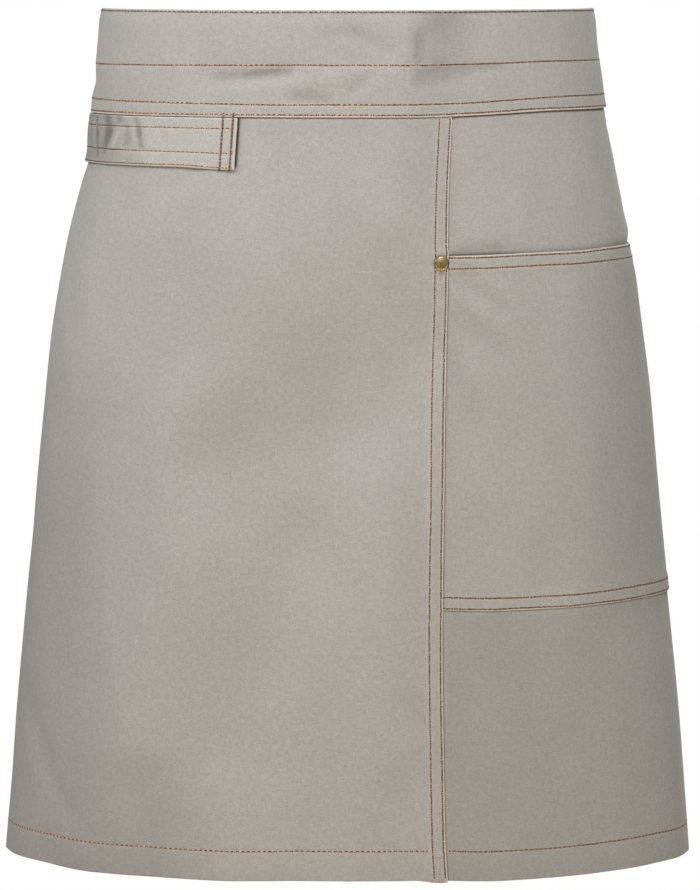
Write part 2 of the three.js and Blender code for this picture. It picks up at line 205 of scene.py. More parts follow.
def wrapCloth(across, drop, level):
    across, drop, level = (np.array(a, float) for a in np.broadcast_arrays(across, drop, level))
    halfRound = halfRoundAt(drop)
    around = np.where(across > halfRound, across - 2 * halfRound, across)
    angle = angleAround(np.abs(around) / halfRound, drop)
    halfWidth = columnAt(wornForm, "halfWidth", drop)
    frontDepth = columnAt(wornForm, "frontDepth", drop)
    depth = np.where(angle < np.pi / 2, frontDepth, columnAt(wornForm, "backDepth", drop))
    outX = np.sin(angle) / halfWidth
    outY = -np.cos(angle) / depth
    out = (level + creaseRise(softFolds, around, drop) + waveRise(around, drop)) / np.hypot(outX, outY)
    x = np.where(around < 0, -1, 1) * (halfWidth * np.sin(angle) + outX * out)
    x = x + columnAt(wornForm, "lean", drop) * np.sin(angle) ** 2
    y = -depth * np.cos(angle) + outY * out
    lift = topEase["rise"] * fade(0, topEase["reach"], drop)
    for acrossSpan, dropSpan, rise in clothLifts:
        lift = lift + rise * plateau(acrossSpan, around) * plateau(dropSpan, drop)
    z = wornForm["topHeight"] - drop - wornForm["backDip"] * np.maximum(0, -np.cos(angle)) + lift
    return np.stack([x, y, z], axis=-1) * mm


print("worn form measured, half round at the waist", round(float(halfRoundAt(0)), 1), "mm")


# Cloth: one weight of twill for every piece
cloth = {
    "thickness": 0.6,
    "radius": 0.45,  # of a turned edge, to the middle of the cloth
    "pressedRadius": 0.33,  # of an edge pressed flat
    "turn": 1.4,  # cloth taken up by the turn
    "groove": 0.22,  # how far a row of stitches draws the cloth in
    "grooveReach": 1.1,
    "edgeReach": 1.5,  # width of the pale along a folded edge, wear with a painted highlight on the fold
    "rubReach": 1.35,  # width of the pale rub to either side of a row of stitches
    "probes": 6001,  # places at which the spacing of a grid's lines is worked out
    "widen": 0.4,  # how fast the lines part, away from a dense place
    "edgeLines": (1.2, 0.36),  # reach and spacing of the lines in a turned edge
}
edgeInset = cloth["radius"] + cloth["thickness"] / 2


def spacedLines(start, stop, step, dense=()):
    probe = np.linspace(start, stop, cloth["probes"])
    spacing = np.full_like(probe, step)
    for place, reach, fine in dense:
        beyond = np.maximum(np.abs(probe - place) - reach, 0)
        spacing = np.minimum(spacing, fine + cloth["widen"] * beyond)
    packing = 1 / spacing
    progress = np.concatenate([[0], np.cumsum((packing[1:] + packing[:-1]) / 2 * np.diff(probe))])
    count = int(np.ceil(progress[-1]))
    return np.interp(np.linspace(0, progress[-1], count + 1), progress, probe)


def edgeLines(line, direction):
    return (line + direction * cloth["turn"] / 2, *cloth["edgeLines"])


def linkPiece(name, data):
    piece = bpy.data.objects.new(name, data)
    bpy.context.scene.collection.objects.link(piece)
    return piece


def pieceFrom(bm, name):
    mesh = bpy.data.meshes.new(name)
    bm.to_mesh(mesh)
    bm.free()
    return linkPiece(name, mesh)


def clothGrid(name, columns, rows):
    bm = bmesh.new()
    bmesh.ops.create_grid(bm, x_segments=len(columns) - 1, y_segments=len(rows) - 1, size=1)
    piece = pieceFrom(bm, name)
    places = np.empty(len(piece.data.vertices) * 3)
    piece.data.vertices.foreach_get("co", places)
    places = places.reshape(-1, 3)
    column = np.rint((places[:, 0] + 1) / 2 * (len(columns) - 1)).astype(int)
    row = np.rint((1 - places[:, 1]) / 2 * (len(rows) - 1)).astype(int)
    return piece, columns[column], rows[row]


# Columns spaced for one drop are shifted so that the sheet's two edges follow their lines at every drop
def followEdges(columns, ends, edges, margin):
    spread = np.clip((columns - ends[0] - margin) / (ends[1] - ends[0] - 2 * margin), 0, 1)
    return columns + (1 - spread) * (edges[0] - ends[0]) + spread * (edges[1] - ends[1])


def foldBack(flat, edge, direction):
    past = np.maximum(direction * (flat - edge), 0)
    angle = np.minimum(past / cloth["turn"], 1) * np.pi
    place = np.where(past > 0, edge - direction * np.maximum(past - cloth["turn"], 0), flat)
    return place, angle


def turnLevel(level, axis, angle):
    radius = level - axis
    return axis + radius * np.cos(angle), np.abs(radius) * np.sin(angle)


def groove(away):
    return -cloth["groove"] * bell(away, cloth["grooveReach"])


def edgeWearAndHighlight(away):
    return np.exp(-np.maximum(away, 0) / cloth["edgeReach"])


def rowRub(away):
    return bell(away, cloth["rubReach"])


def addAttribute(mesh, name, values):
    mesh.attributes.new(name, "FLOAT", "POINT").data.foreach_set("value", values)


def finishSheet(piece, flatAcross, flatDrop, points, **looks):
    mesh = piece.data
    mesh.vertices.foreach_set("co", points.ravel())
    corners = np.empty(len(mesh.loops), int)
    mesh.loops.foreach_get("vertex_index", corners)
    flat = np.stack([flatAcross, -flatDrop], axis=1) * mm
    mesh.uv_layers.new(name="clothUv").data.foreach_set("uv", flat[corners].ravel())
    # tone carries the painted shade; pale carries wear with a painted highlight along folded edges
    for name in ("pale", "rub", "tone"):
        addAttribute(mesh, name, looks.get(name, np.zeros_like(flatDrop)))
    mesh.shade_smooth()
    mesh.update()
    wall = piece.modifiers.new("clothThickness", "SOLIDIFY")
    wall.thickness = cloth["thickness"] * mm
    wall.offset = 0
    wall.use_even_offset = False
    wall.material_offset = 1  # the inner side wears the twill without the painted shade
    return piece


# Painted shade: the cloth is drawn darker where shadow falls in nooks, in creases, under edges and round the
# rivet, and where the light falls off on the flanks; it is also drawn darker below the pocket and towards the
# hem. How dark, and the reach or the spans over which it comes and goes
shade = {
    "lap": {"dark": 1.0, "reach": 0.62},
    "mouth": {"dark": 0.85, "reach": 1.1, "lost": 0.75, "lostAcross": (92, 125), "inside": (156, 166)},
    "band": {"dark": 0.75, "reach": 0.35, "gap": 0.2},
    "bandCrease": 0.12,
    "bandRight": {"dark": 0.12, "across": (182, 225)},
    "sunkMost": 1.5,  # deeper creases get no darker
    "belowPocket": {"dark": 0.125, "across": (58, 66), "past": (-2, 4)},
    "leftLow": {"dark": 0.16, "across": (70, 130, 150, 230), "drop": (440, 550)},
    "hem": 0.05,
    "pocketCrease": 0.1,
    "rivet": {"dark": 0.7, "ring": 5.1, "reach": 0.75},
    "flank": {"dark": 0.14, "across": (140, 195), "left": (180, 330), "right": (140, 180, 372, 395)},
    "edge": {"dark": 0.06, "across": (215, 275), "drop": (90, 180)},
    "loop": {"dark": 0.33, "front": (-225, -125), "back": (-256, -226)},
    "loopCrease": 0.3,
    "loopTop": {"dark": 0.55, "across": (-200, -140)},
    "loopFront": {"dark": 1.0, "reach": 1.3, "across": (-80, -74), "foot": (-1, 0.5)},
}


def sunkShade(creases, across, drop):
    return np.clip(-creaseRise(creases, across, drop), 0, shade["sunkMost"])


def lapShade(across, drop):
    return shade["lap"]["dark"] * bell(np.maximum(across - lapEdge(drop), 0), shade["lap"]["reach"])


def bandShade(drop):
    below = np.maximum(drop - band["height"] - shade["band"]["gap"], 0)
    return shade["band"]["dark"] * np.exp(-below / shade["band"]["reach"])


def hemShade(drop):
    return shade["hem"] * smooth(panels["hemRow"], panels["hem"], drop)


def flankShade(across, drop):
    flank = shade["flank"]
    edge = shade["edge"]
    low = np.where(across < 0, smooth(*flank["left"], drop), plateau(flank["right"], drop))
    tone = flank["dark"] * smooth(*flank["across"], np.abs(across)) * low
    return tone + edge["dark"] * smooth(*edge["across"], np.abs(across)) * smooth(*edge["drop"], drop)


# Painted shade on the main panel: under the band, beside the loop's front end, round the rivet, on the flanks
# and at the lower left; also darker towards the hem
def mainPaintedShade(across, drop):
    low = shade["leftLow"]
    tone = low["dark"] * plateau(low["across"], -across) * smooth(*low["drop"], drop)
    tone = tone + flankShade(across, drop) + hemShade(drop)
    ring = shade["rivet"]
    tone = np.maximum(tone, ring["dark"] * bell(rivetAway(across, drop) - ring["ring"], ring["reach"]))
    front = shade["loopFront"]
    beside = bell(np.maximum(across - loopFront(drop), 0), front["reach"])
    beside = beside * fade(*front["foot"], drop - loop["top"] - loop["height"])
    beside = front["dark"] * beside * smooth(*front["across"], across)
    return np.maximum(np.maximum(bandShade(drop), tone), beside)


# Painted shade on the side panel: under the band, beside the lap's edge, just above the pocket's mouth and on
# the flank; also darker below the pocket and towards the hem
def sidePaintedShade(across, drop):
    low = shade["belowPocket"]
    tone = low["dark"] * smooth(*low["past"], drop - pocket["bottom"]) * smooth(*low["across"], across)
    tone = tone + hemShade(drop) + flankShade(across, drop)
    tone = np.maximum(np.maximum(tone, bandShade(drop)), lapShade(across, drop))
    mouth = shade["mouth"]
    above = np.exp(-np.maximum(pocket["mouth"] - drop, 0) / mouth["reach"])
    above = above * (1 - mouth["lost"] * smooth(*mouth["lostAcross"], across))
    return np.maximum(tone, mouth["dark"] * above * fade(*mouth["inside"], drop))


# Panels: the main one is lapped over the side one, and both are hemmed at the bottom and the back edges
panels = {
    "top": 58,
    "hem": 550,
    "hemDepth": 19,
    "hemRow": 531,
    "hemPale": 0.35,
    "hemRub": 0.6,
    "backTop": 349,
    "backHem": 420,
    "backDepth": 15,
    "backRow": 12.5,
    "backSlope": 6,  # over which the hem comes down from the doubled back edge
    "underlap": 12,
    "underSlope": (0, 6),  # past the lap's edge, where the side panel comes out
    "underBand": 0.85,  # how much deeper it lies where band and lap both cover it
    "lapDepth": 10.4,
    "lapRows": [1.6, 8.8],
    "lapSlope": (9.2, 13),  # inside the lap's edge, where it comes down to the panel
    "lapHem": (13, 20),  # and where the hem does
    "lapRise": 0.65,
    "lapOverPocket": 0.8,
    "lapOverFolds": 0.6,
    "besidePocket": (149, 153, 380, 385),
    "overMouth": (149, 153, 166, 172),
    "overBottom": (361, 367, 380, 385),
    "leaveBand": (66, 73),  # drops over which the lap comes out from under the band
    "rowsLeaveBand": (64, 70),
    "creases": [
        (-246, 445, -193, 513, 9, -1.7),
        (-205, 500, -198, 545, 16, 0.9),
        (-135, 495, -132, 548, 18, -1.3),
        (-48, 484, -44, 540, 15, -1.1),
        (-88, 490, -84, 548, 17, 0.9),
        (-14, 478, -14, 535, 13, -0.8),
        (44, 448, 36, 440, 7, -0.6),
        (-100, 104, -150, 128, 7, -0.5),
        (-88, 108, -112, 140, 7, 0.4),
        (46, 330, 50, 450, 12, -1.0),
    ],
    "creaseFade": (4, 14),  # inside the lap's edge
    "sideCreases": [
        (74, 152.5, 98, 152, 4.2, -1.6),
        (98, 152, 122, 151.5, 3.4, -0.6),
        (95, 148, 165, 146, 22, 1.4),
        (212, 148, 265, 147, 7, 1.5),
    ],
    "mainLevel": 0.5,
    "sideLevel": -0.5,
    "puff": 0.5,  # where the band lets the cloth go
    "puffDrop": (67, 69.4, 69.4, 80),
    "puffPastLoop": (1, 9),
    "middle": 300,  # drop for which the columns are spaced
    "margin": 30,
    "step": 3.1,
    "dense": {  # where from a line or edge, reach and spacing of the grid's lines
        "hemRow": (0, 1.6, 0.8),
        "puff": (68.5, 3, 1.5),
        "bandEdge": (0.6, 1.2, 0.4),
        "pocket": (0, 3, 1.2),
        "backRow": (0, 1.4, 0.8),
        "lapEdge": (0.7, 1.4, 0.36),
        "lapRow": (0, 1.6, 0.55),
        "lapSlope": (-11, 2, 1.1),
        "loopFront": (-10.8, 3, 0.45),
        "underSlope": (14, 5, 1.6),
        "lapShade": (0.6, 1.6, 0.6),
    },
}
lapLine = {
    "drop": [58, 110, 160, 205, 250, 378, 523, 550],
    "edge": [68.2, 65.4, 64.8, 64.7, 63.1, 60.4, 62.3, 64],
}


def lapEdge(drop):
    return columnAt(lapLine, "edge", drop)


def backEdge(drop):
    share = (drop - panels["top"]) / (panels["hem"] - panels["top"])
    return panels["backTop"] + (panels["backHem"] - panels["backTop"]) * share


def lapRise(drop):
    folds = plateau(panels["overMouth"], drop) + plateau(panels["overBottom"], drop)
    rise = panels["lapRise"] + panels["lapOverPocket"] * plateau(panels["besidePocket"], drop)
    return smooth(*panels["leaveBand"], drop) * (rise + panels["lapOverFolds"] * folds)


def puff(drop):
    return panels["puff"] * plateau(panels["puffDrop"], drop)


def mainCreases(across, drop):
    return creaseRise(panels["creases"], across, drop) * smooth(*panels["creaseFade"], lapEdge(drop) - across)


def mainLevel(across, drop):
    inside = lapEdge(drop) - across
    level = panels["mainLevel"] + lapRise(drop) * fade(*panels["lapSlope"], inside)
    for row in panels["lapRows"]:
        level = level + groove(inside - row) * smooth(*panels["rowsLeaveBand"], drop)
    dimple = rivetAway(across, drop) / rivetPlace["dimpleReach"]
    level = level - rivetPlace["dimple"] * np.exp(-(dimple**4))
    level = level + groove(drop - panels["hemRow"]) + groove(across + backEdge(drop) - panels["backRow"])
    level = level + puff(drop) * smooth(*panels["puffPastLoop"], across - loop["frontTop"])
    return level + mainCreases(across, drop)


def sideLevel(across, drop):
    under = fade(*panels["underSlope"], across - lapEdge(drop))
    level = panels["sideLevel"] - panels["underBand"] * under * fade(*panels["leaveBand"], drop)
    level = level + (puff(drop) + creaseRise(panels["sideCreases"], across, drop)) * (1 - under)
    level = level + np.minimum(pocketCreases(across, drop), 0)
    level = level + groove(drop - panels["hemRow"]) * (1 - under)
    return level + groove(backEdge(drop) - panels["backRow"] - across)


def denseAt(line, name):
    shift, reach, spacing = panels["dense"][name]
    return (line + shift, reach, spacing)


def panelRows():
    hemLine = panels["hem"] - edgeInset
    stop = hemLine + cloth["turn"] + panels["hemDepth"]
    dense = [denseAt(panels["hemRow"], "hemRow"), edgeLines(hemLine, 1)]
    dense += [denseAt(0, "puff"), denseAt(band["height"], "bandEdge")]
    dense += [denseAt(place, "pocket") for place in (pocket["mouth"], pocket["bottom"], rivetPlace["drop"])]
    return spacedLines(panels["top"], stop, panels["step"], dense)


def hemRub(drop, backInside):
    hem = panels["hemRub"] * rowRub(drop - panels["hemRow"])
    return np.maximum(hem, rowRub(backInside - panels["backRow"]))


def hemAxis(level, backInside):
    inBack = fade(panels["backDepth"], panels["backDepth"] + panels["backSlope"], backInside)
    return level - cloth["radius"] - 2 * cloth["radius"] * inBack


def makeMainPanel():
    ends = (-backEdge(panels["middle"]), lapEdge(panels["middle"]))
    leftLine = ends[0] + edgeInset
    rightLine = ends[1] - edgeInset
    dense = [edgeLines(leftLine, -1), denseAt(ends[0] + panels["backRow"], "backRow")]
    dense += [denseAt(ends[1] - row, "lapRow") for row in panels["lapRows"]]
    dense += [denseAt(rightLine, "lapEdge"), denseAt(ends[1], "lapSlope")]
    dense.append(denseAt(loop["frontBottom"], "loopFront"))
    start = leftLine - cloth["turn"] - panels["backDepth"]
    stop = rightLine + cloth["turn"] + panels["lapDepth"]
    columns = spacedLines(start, stop, panels["step"], dense)
    piece, column, flatDrop = clothGrid("mainPanelCloth", columns, panelRows())
    drop, hemAngle = foldBack(flatDrop, panels["hem"] - edgeInset, 1)
    flatAcross = followEdges(column, ends, (-backEdge(drop), lapEdge(drop)), panels["margin"])
    across, backAngle = foldBack(flatAcross, -backEdge(drop) + edgeInset, -1)
    across, lapAngle = foldBack(across, lapEdge(drop) - edgeInset, 1)
    level = mainLevel(across, drop)
    level, backOut = turnLevel(level, level - cloth["radius"], backAngle)
    level, lapOut = turnLevel(level, level - cloth["radius"], lapAngle)
    lapInside = lapEdge(drop) - across
    backInside = across + backEdge(drop)
    axis = hemAxis(panels["mainLevel"], backInside) - fade(*panels["lapHem"], lapInside)
    level, hemOut = turnLevel(level, axis + mainCreases(across, drop), hemAngle)
    points = wrapCloth(across - backOut + lapOut, drop + hemOut, level)
    pale = np.maximum(edgeWearAndHighlight(lapInside), panels["hemPale"] * edgeWearAndHighlight(panels["hem"] - drop))
    rub = np.max([hemRub(drop, backInside), *(rowRub(lapInside - row) for row in panels["lapRows"])], axis=0)
    return finishSheet(piece, flatAcross, flatDrop, points, pale=pale, rub=rub, tone=mainPaintedShade(across, drop))


def makeSidePanel():
    ends = (lapEdge(panels["middle"]) - panels["underlap"], backEdge(panels["middle"]))
    rightLine = ends[1] - edgeInset
    dense = [edgeLines(rightLine, 1), denseAt(ends[1] - panels["backRow"], "backRow")]
    dense += [denseAt(ends[0], "underSlope"), denseAt(ends[0] + panels["underlap"], "lapShade")]
    stop = rightLine + cloth["turn"] + panels["backDepth"]
    columns = spacedLines(ends[0], stop, panels["step"], dense)
    piece, column, flatDrop = clothGrid("sidePanelCloth", columns, panelRows())
    drop, hemAngle = foldBack(flatDrop, panels["hem"] - edgeInset, 1)
    edges = (lapEdge(drop) - panels["underlap"], backEdge(drop))
    flatAcross = followEdges(column, ends, edges, panels["margin"])
    across, backAngle = foldBack(flatAcross, backEdge(drop) - edgeInset, 1)
    level = sideLevel(across, drop)
    level, backOut = turnLevel(level, level - cloth["radius"], backAngle)
    backInside = backEdge(drop) - across
    level, hemOut = turnLevel(level, hemAxis(panels["sideLevel"], backInside), hemAngle)
    points = wrapCloth(across + backOut, drop + hemOut, level)
    pale = panels["hemPale"] * edgeWearAndHighlight(panels["hem"] - drop)
    rub = hemRub(drop, backInside)
    return finishSheet(piece, flatAcross, flatDrop, points, pale=pale, rub=rub, tone=sidePaintedShade(across, drop))


# Pocket: a patch on the side panel, tucked under the lap, easing open at the mouth
pocket = {
    "mouth": 154.9,
    "bottom": 378.3,
    "foldDepth": 9.6,
    "foldSlope": 3,
    "foldTrim": 1,  # how much narrower the folded part is behind
    "mouthRows": [156.5, 163.2],
    "bottomRows": [370, 376.9],
    "endMouth": 285,
    "endBottom": 312,
    "endRow": 1.8,
    "tuck": 6,
    "level": 0.3,
    "foldRise": 0.55,
    "ease": 2.4,
    "easeLean": 0.6,
    "middle": 260,  # drop for which the columns are spaced
    "margin": 15,
    "step": 3.0,
    "rowLines": (1.5, 0.6),  # reach and spacing of the grid's lines at a row, and near the lap
    "lapLines": [(2, 4, 1.5), (0.6, 1.6, 0.6)],
    "creases": [
        (76, 166, 100, 188, 7, -1.1),
        (74, 192, 100, 210, 8, -1.1),
        (68, 222, 82, 254, 9, -1.0),
        (88, 168, 120, 186, 7, 0.7),
        (84, 188, 108, 202, 7, 0.6),
        (225, 158, 265, 210, 26, -0.5),
    ],
    "creaseFade": (0, 8),  # past the lap's edge
    "tones": [(150, -0.2, 0.35), (230, -0.7, 0)],  # of the thread: across, darkest, palest
}
pocketRows = pocket["mouthRows"] + pocket["bottomRows"]


def pocketEnd(drop):
    share = (drop - pocket["mouth"]) / (pocket["bottom"] - pocket["mouth"])
    return pocket["endMouth"] + (pocket["endBottom"] - pocket["endMouth"]) * share


def pocketCreases(across, drop):
    rise = creaseRise(pocket["creases"], across, drop)
    return rise * smooth(*pocket["creaseFade"], across - lapEdge(drop))


def inFold(inside):
    return fade(pocket["foldDepth"], pocket["foldDepth"] + pocket["foldSlope"], inside)


def pocketLevel(across, drop):
    left = lapEdge(drop)
    share = np.clip((across - left) / (pocketEnd(drop) - left), 0, 1)
    fall = np.clip((drop - pocket["mouth"]) / (pocket["bottom"] - pocket["mouth"]), 0, 1)
    level = pocket["level"] + pocket["ease"] * np.sin(np.pi * share ** pocket["easeLean"]) * (1 - fall) ** 2
    level = level + pocket["foldRise"] * (inFold(drop - pocket["mouth"]) + inFold(pocket["bottom"] - drop))
    for row in pocketRows:
        level = level + groove(drop - row)
    level = level + groove(pocketEnd(drop) - pocket["endRow"] - across)
    return level + pocketCreases(across, drop)


def makePocket():
    ends = (lapEdge(pocket["middle"]) - pocket["tuck"], pocketEnd(pocket["middle"]))
    mouthLine = pocket["mouth"] + edgeInset
    bottomLine = pocket["bottom"] - edgeInset
    allowance = cloth["turn"] + pocket["foldDepth"] - pocket["foldTrim"]
    dense = [edgeLines(mouthLine, -1), edgeLines(bottomLine, 1)]
    dense += [(place, *pocket["rowLines"]) for place in pocketRows]
    rows = spacedLines(mouthLine - allowance, bottomLine + allowance, pocket["step"], dense)
    dense = [(ends[0] + pocket["tuck"] + past, *lines) for past, *lines in pocket["lapLines"]]
    dense.append(edgeLines(ends[1] - edgeInset, 1))
    columns = spacedLines(ends[0], ends[1] + allowance, pocket["step"], dense)
    piece, column, flatDrop = clothGrid("pocketCloth", columns, rows)
    drop, mouthAngle = foldBack(flatDrop, mouthLine, -1)
    drop, bottomAngle = foldBack(drop, bottomLine, 1)
    edges = (lapEdge(drop) - pocket["tuck"], pocketEnd(drop))
    flatAcross = followEdges(column, ends, edges, pocket["margin"])
    across, endAngle = foldBack(flatAcross, pocketEnd(drop) - edgeInset, 1)
    radius = pocket["foldRise"] / 2
    level = pocketLevel(across, drop)
    axis = level - radius
    level = level + 2 * radius * inFold(pocketEnd(drop) - across)
    level, endOut = turnLevel(level, level - radius, endAngle)
    level, mouthOut = turnLevel(level, axis, mouthAngle)
    level, bottomOut = turnLevel(level, axis, bottomAngle)
    points = wrapCloth(across + endOut, drop - mouthOut + bottomOut, level)
    pale = np.maximum(edgeWearAndHighlight(drop - pocket["mouth"]), edgeWearAndHighlight(pocket["bottom"] - drop))
    endRub = rowRub(pocketEnd(drop) - pocket["endRow"] - across)
    rub = np.max([endRub, *(rowRub(drop - row) for row in pocketRows)], axis=0)
    # Painted shade in the creases, on the flank and beside the lap's edge
    sunk = shade["pocketCrease"] * sunkShade(pocket["creases"], across, drop)
    tone = np.maximum(lapShade(across, drop), sunk + flankShade(across, drop))
    return finishSheet(piece, flatAcross, flatDrop, points, pale=pale, rub=rub, tone=tone)


# Waistband: one strip folded at the top edge, both lower edges turned in and clasping the panels
band = {
    "height": 67.45,
    "reach": 352,
    # drop of each row, and how much more it is at the left and at the right
    "rows": [(1.4, 0, 0), (34.3, 1.2, 0), (59.2, -1.3, -0.8), (65.7, 0, 0)],
    "rowSlope": (40, 220),  # across, to either side
    "turnDepth": 8.5,
    "turnEase": 0.1,
    "layers": 0.8,  # least distance between the outer and the inner layer
    "topFold": 0.7,  # of the strip to either side of the top edge
    "topDrop": (0.3, 0.4),
    "topPale": 0.6,
    "step": 3.0,
    "outer": {
        "drop": [0, 1.4, 8, 20, 34.3, 46, 59.2, 67.2],
        "level": [1.3, 1.35, 2.15, 2.0, 2.1, 2.3, 1.88, 1.88],
    },
    "inner": {
        "drop": [0, 1.4, 8, 20, 34.3, 46, 58, 67.2],
        "level": [0.5, 0.45, -0.95, -1.3, -1.2, -1.4, -2.35, -2.35],
    },
    "underLap": {"drop": 66.0, "inset": 5, "reach": 14, "sink": 0.9, "grow": (50, 58)},  # room for the lap
    "topLines": (0, 1.6, 0.4),  # place, reach and spacing of the grid's lines
    "rowLines": (1.8, 0.6),
    "creaseLines": [(-48, 28, 2.0), (44, 28, 2.0)],
    "creases": [
        (44.9, 16, 43.9, 33, 3.2, -2.3),
        (38, 8, 37.5, 34, 6, 1.1),
        (64, 10, 67, 36, 17, -1.2),
        (45, 12, 57, 9, 5, -0.4),
        (-12, 15.5, 4, 14, 4, -0.5),
        (6, 14, 26, 25, 4, -0.7),
        (-2, 21, 18, 28, 5, 0.4),
        (-84, 44.2, -37, 39.4, 3.6, -1.2),
        (-64, 42, -46, 40.4, 2.8, -0.9),
        (-84, 50, -30, 46.5, 5, 0.7),
        (-30, 46, 18, 38, 5, 0.7),
        (-34, 54.5, -14, 56.5, 4, -1.0),
        (2, 50.5, 15.4, 39.4, 3.6, -0.8),
        (10, 54, 28, 40, 4, 0.5),
        (46, 43, 58, 40, 6, -1.9),
        (58, 39, 100, 36.5, 3, -1.1),
        (45, 49, 95, 45, 6, 0.6),
        (-150, 12, -120, 26, 9, 0.35),
        (110, 8, 150, 24, 10, 0.3),
        (-222, 44, -300, 47, 6, -0.8),
        (-222, 56, -300, 57, 8, 0.9),
    ],
    "creaseGrow": (1, 9),  # drops over which they set in
    "tones": [(-190, -0.1, 0.7), (-110, 0.15, 1), (20, 0.15, 1), (70, -0.5, 0.4)],  # across, darkest, palest: the thread is darker at the shaded left end and past the crease at the right, painted shade
}


def bandRow(row, across):
    drop, left, right = row
    return drop + left * smooth(*band["rowSlope"], -across) + right * smooth(*band["rowSlope"], across)


def bandCreased(across, drop):
    rise = creaseRise(band["creases"], across, drop) * smooth(*band["creaseGrow"], drop)
    return columnAt(band["outer"], "level", drop) + rise


def bandGrooves(across, drop):
    return sum(groove(drop - bandRow(row, across)) for row in band["rows"][1:])


def bandOuter(across, drop):
    return bandCreased(across, drop) + bandGrooves(across, drop)


def bandInner(across, drop):
    room = band["underLap"]
    underLap = bell(across - lapEdge(room["drop"]) + room["inset"], room["reach"])
    underLap = underLap * smooth(*room["grow"], drop)
    level = columnAt(band["inner"], "level", drop) - room["sink"] * underLap - bandGrooves(across, drop)
    return np.minimum(level, bandCreased(across, drop) - band["layers"])


def makeWaistband():
    lowerLine = band["height"] - edgeInset
    end = lowerLine + cloth["turn"] + band["turnDepth"]
    dense = [band["topLines"]]
    for side in (-1, 1):
        dense += [(side * row[0], *band["rowLines"]) for row in band["rows"]]
        dense.append(edgeLines(side * lowerLine, side))
    rows = spacedLines(-end, end, band["step"], dense)
    columns = spacedLines(-band["reach"], band["reach"], band["step"], band["creaseLines"])
    piece, across, strip = clothGrid("waistbandCloth", columns, rows)
    outside = strip > 0
    away = np.abs(strip)
    drop, turnAngle = foldBack(away, lowerLine, 1)
    outer = bandOuter(across, drop)
    inner = bandInner(across, drop)
    outer, outerOut = turnLevel(outer, outer - cloth["pressedRadius"], turnAngle)
    inner, innerOut = turnLevel(inner, inner + cloth["radius"] - band["turnEase"], turnAngle)
    level = np.where(outside, outer, inner)
    fold = band["topFold"]  # over the top edge the strip runs in a half circle
    angle = np.clip(away / fold, 0, 1) * np.pi / 2
    middle = (columnAt(band["outer"], "level", fold) + columnAt(band["inner"], "level", fold)) / 2
    level = np.where(away < fold, middle + (level - middle) * np.sin(angle), level)
    drop = np.where(away < fold, band["topDrop"][0] + band["topDrop"][1] * (1 - np.cos(angle)), drop)
    points = wrapCloth(across, drop + np.where(outside, outerOut, innerOut), level)
    pale = np.maximum(edgeWearAndHighlight(band["height"] - drop), band["topPale"] * edgeWearAndHighlight(drop))
    rub = np.max([rowRub(drop - bandRow(row, across)) for row in band["rows"][1:]], axis=0)
    # Painted shade outside: darker at the band's right end and in its creases
    right = shade["bandRight"]["dark"] * smooth(*shade["bandRight"]["across"], across)
    tone = (shade["bandCrease"] * sunkShade(band["creases"], across, drop) + right) * outside
    return finishSheet(piece, across, strip, points, pale=pale, rub=rub, tone=tone)


# Towel loop: a flat strap under the band's left part, turned under all round and sewn at the front end
loop = {
    "top": 67.65,
    "height": 33.05,
    "frontTop": -69.9,
    "frontBottom": -72,
    "back": -265,
    "rows": [74.4, 90.2, 99.1],
    "rowWidth": 0.72,
    "bars": [3, 9.7],
    "barPairs": (-0.22, 0.22),  # two rows side by side make one bar
    "barReach": 1.2,
    "barLap": 2.6,  # how far the bars run up over the band's lower edge
    "barStep": (-0.4, 0.6),  # where they come down from it
    "barRise": 0.1,
    "barGroove": 1.6,
    "barTone": (-0.5, 0.3),
    "barWidth": 0.8,
    "barPitch": 2.3,
    "turnDepth": 7,
    "turnEase": 0.05,
    "level": 2.0,
    "ease": 0.2,
    "pinch": 1.45,  # how much narrower the strap is past its front end
    "pinchSpan": (78, 112),
    "frontRise": 0.35,
    "frontSlope": 4,
    "frontSpread": (-110, -80),  # where the columns begin to follow the slanted front end
    "pale": 0.38,
    "paleAcross": (-165, -135),
    "edgePale": 0.8,
    "creasePale": (0.42, 1.2),  # painted highlight on the creases' ridges: how pale for each millimetre of rise, and the most that counts
    "sinkMost": 0.75,  # deeper creases would meet the panel behind
    "step": 2.0,
    "rowLines": (1.3, 0.6),  # reach and spacing of the grid's lines
    "barLines": (1.4, 0.6),
    "creaseLines": (-170, 32, 1.0),
    "creases": [
        (-194, 71, -193, 80, 2, -1.1),
        (-193, 80, -193.5, 94, 1.8, -1.0),
        (-177.5, 70, -175, 78.5, 4.5, -1.3),
        (-175, 78.5, -180.6, 90, 4, -1.3),
        (-162.7, 68.6, -162.4, 72.5, 4, -0.9),
        (-154, 76, -154.4, 85, 3.2, -0.6),
        (-146.7, 70, -143.6, 77.7, 2.6, -0.7),
        (-143.6, 77.7, -140.5, 87.5, 2.6, -1.4),
        (-198, 74, -198.5, 90, 1.8, 0.9),
        (-161, 76.5, -168, 88, 4, 1.1),
        (-155.3, 70, -148, 80, 3.2, 0.6),
        (-135, 76, -137.3, 85, 4, 0.7),
    ],
    "standOff": [(-228, 92, -228, 101, 26, 1.2)],  # where the strap rounds the hip
    "tones": [(-180, -0.9, -0.3), (-150, 0, 0.7), (-120, 0.3, 1)],  # across, darkest, palest: the thread is darker towards the back end, which lies in shade, painted shade
}
loopBottom = loop["top"] + loop["height"]


def loopFront(drop):
    share = (drop - loop["top"]) / loop["height"]
    return loop["frontTop"] + (loop["frontBottom"] - loop["frontTop"]) * share


def loopDrop(across, drop):
    share = np.clip((drop - loop["rows"][0]) / (loopBottom - loop["rows"][0]), 0, 1)
    return drop - loop["pinch"] * share * smooth(*loop["pinchSpan"], -across)


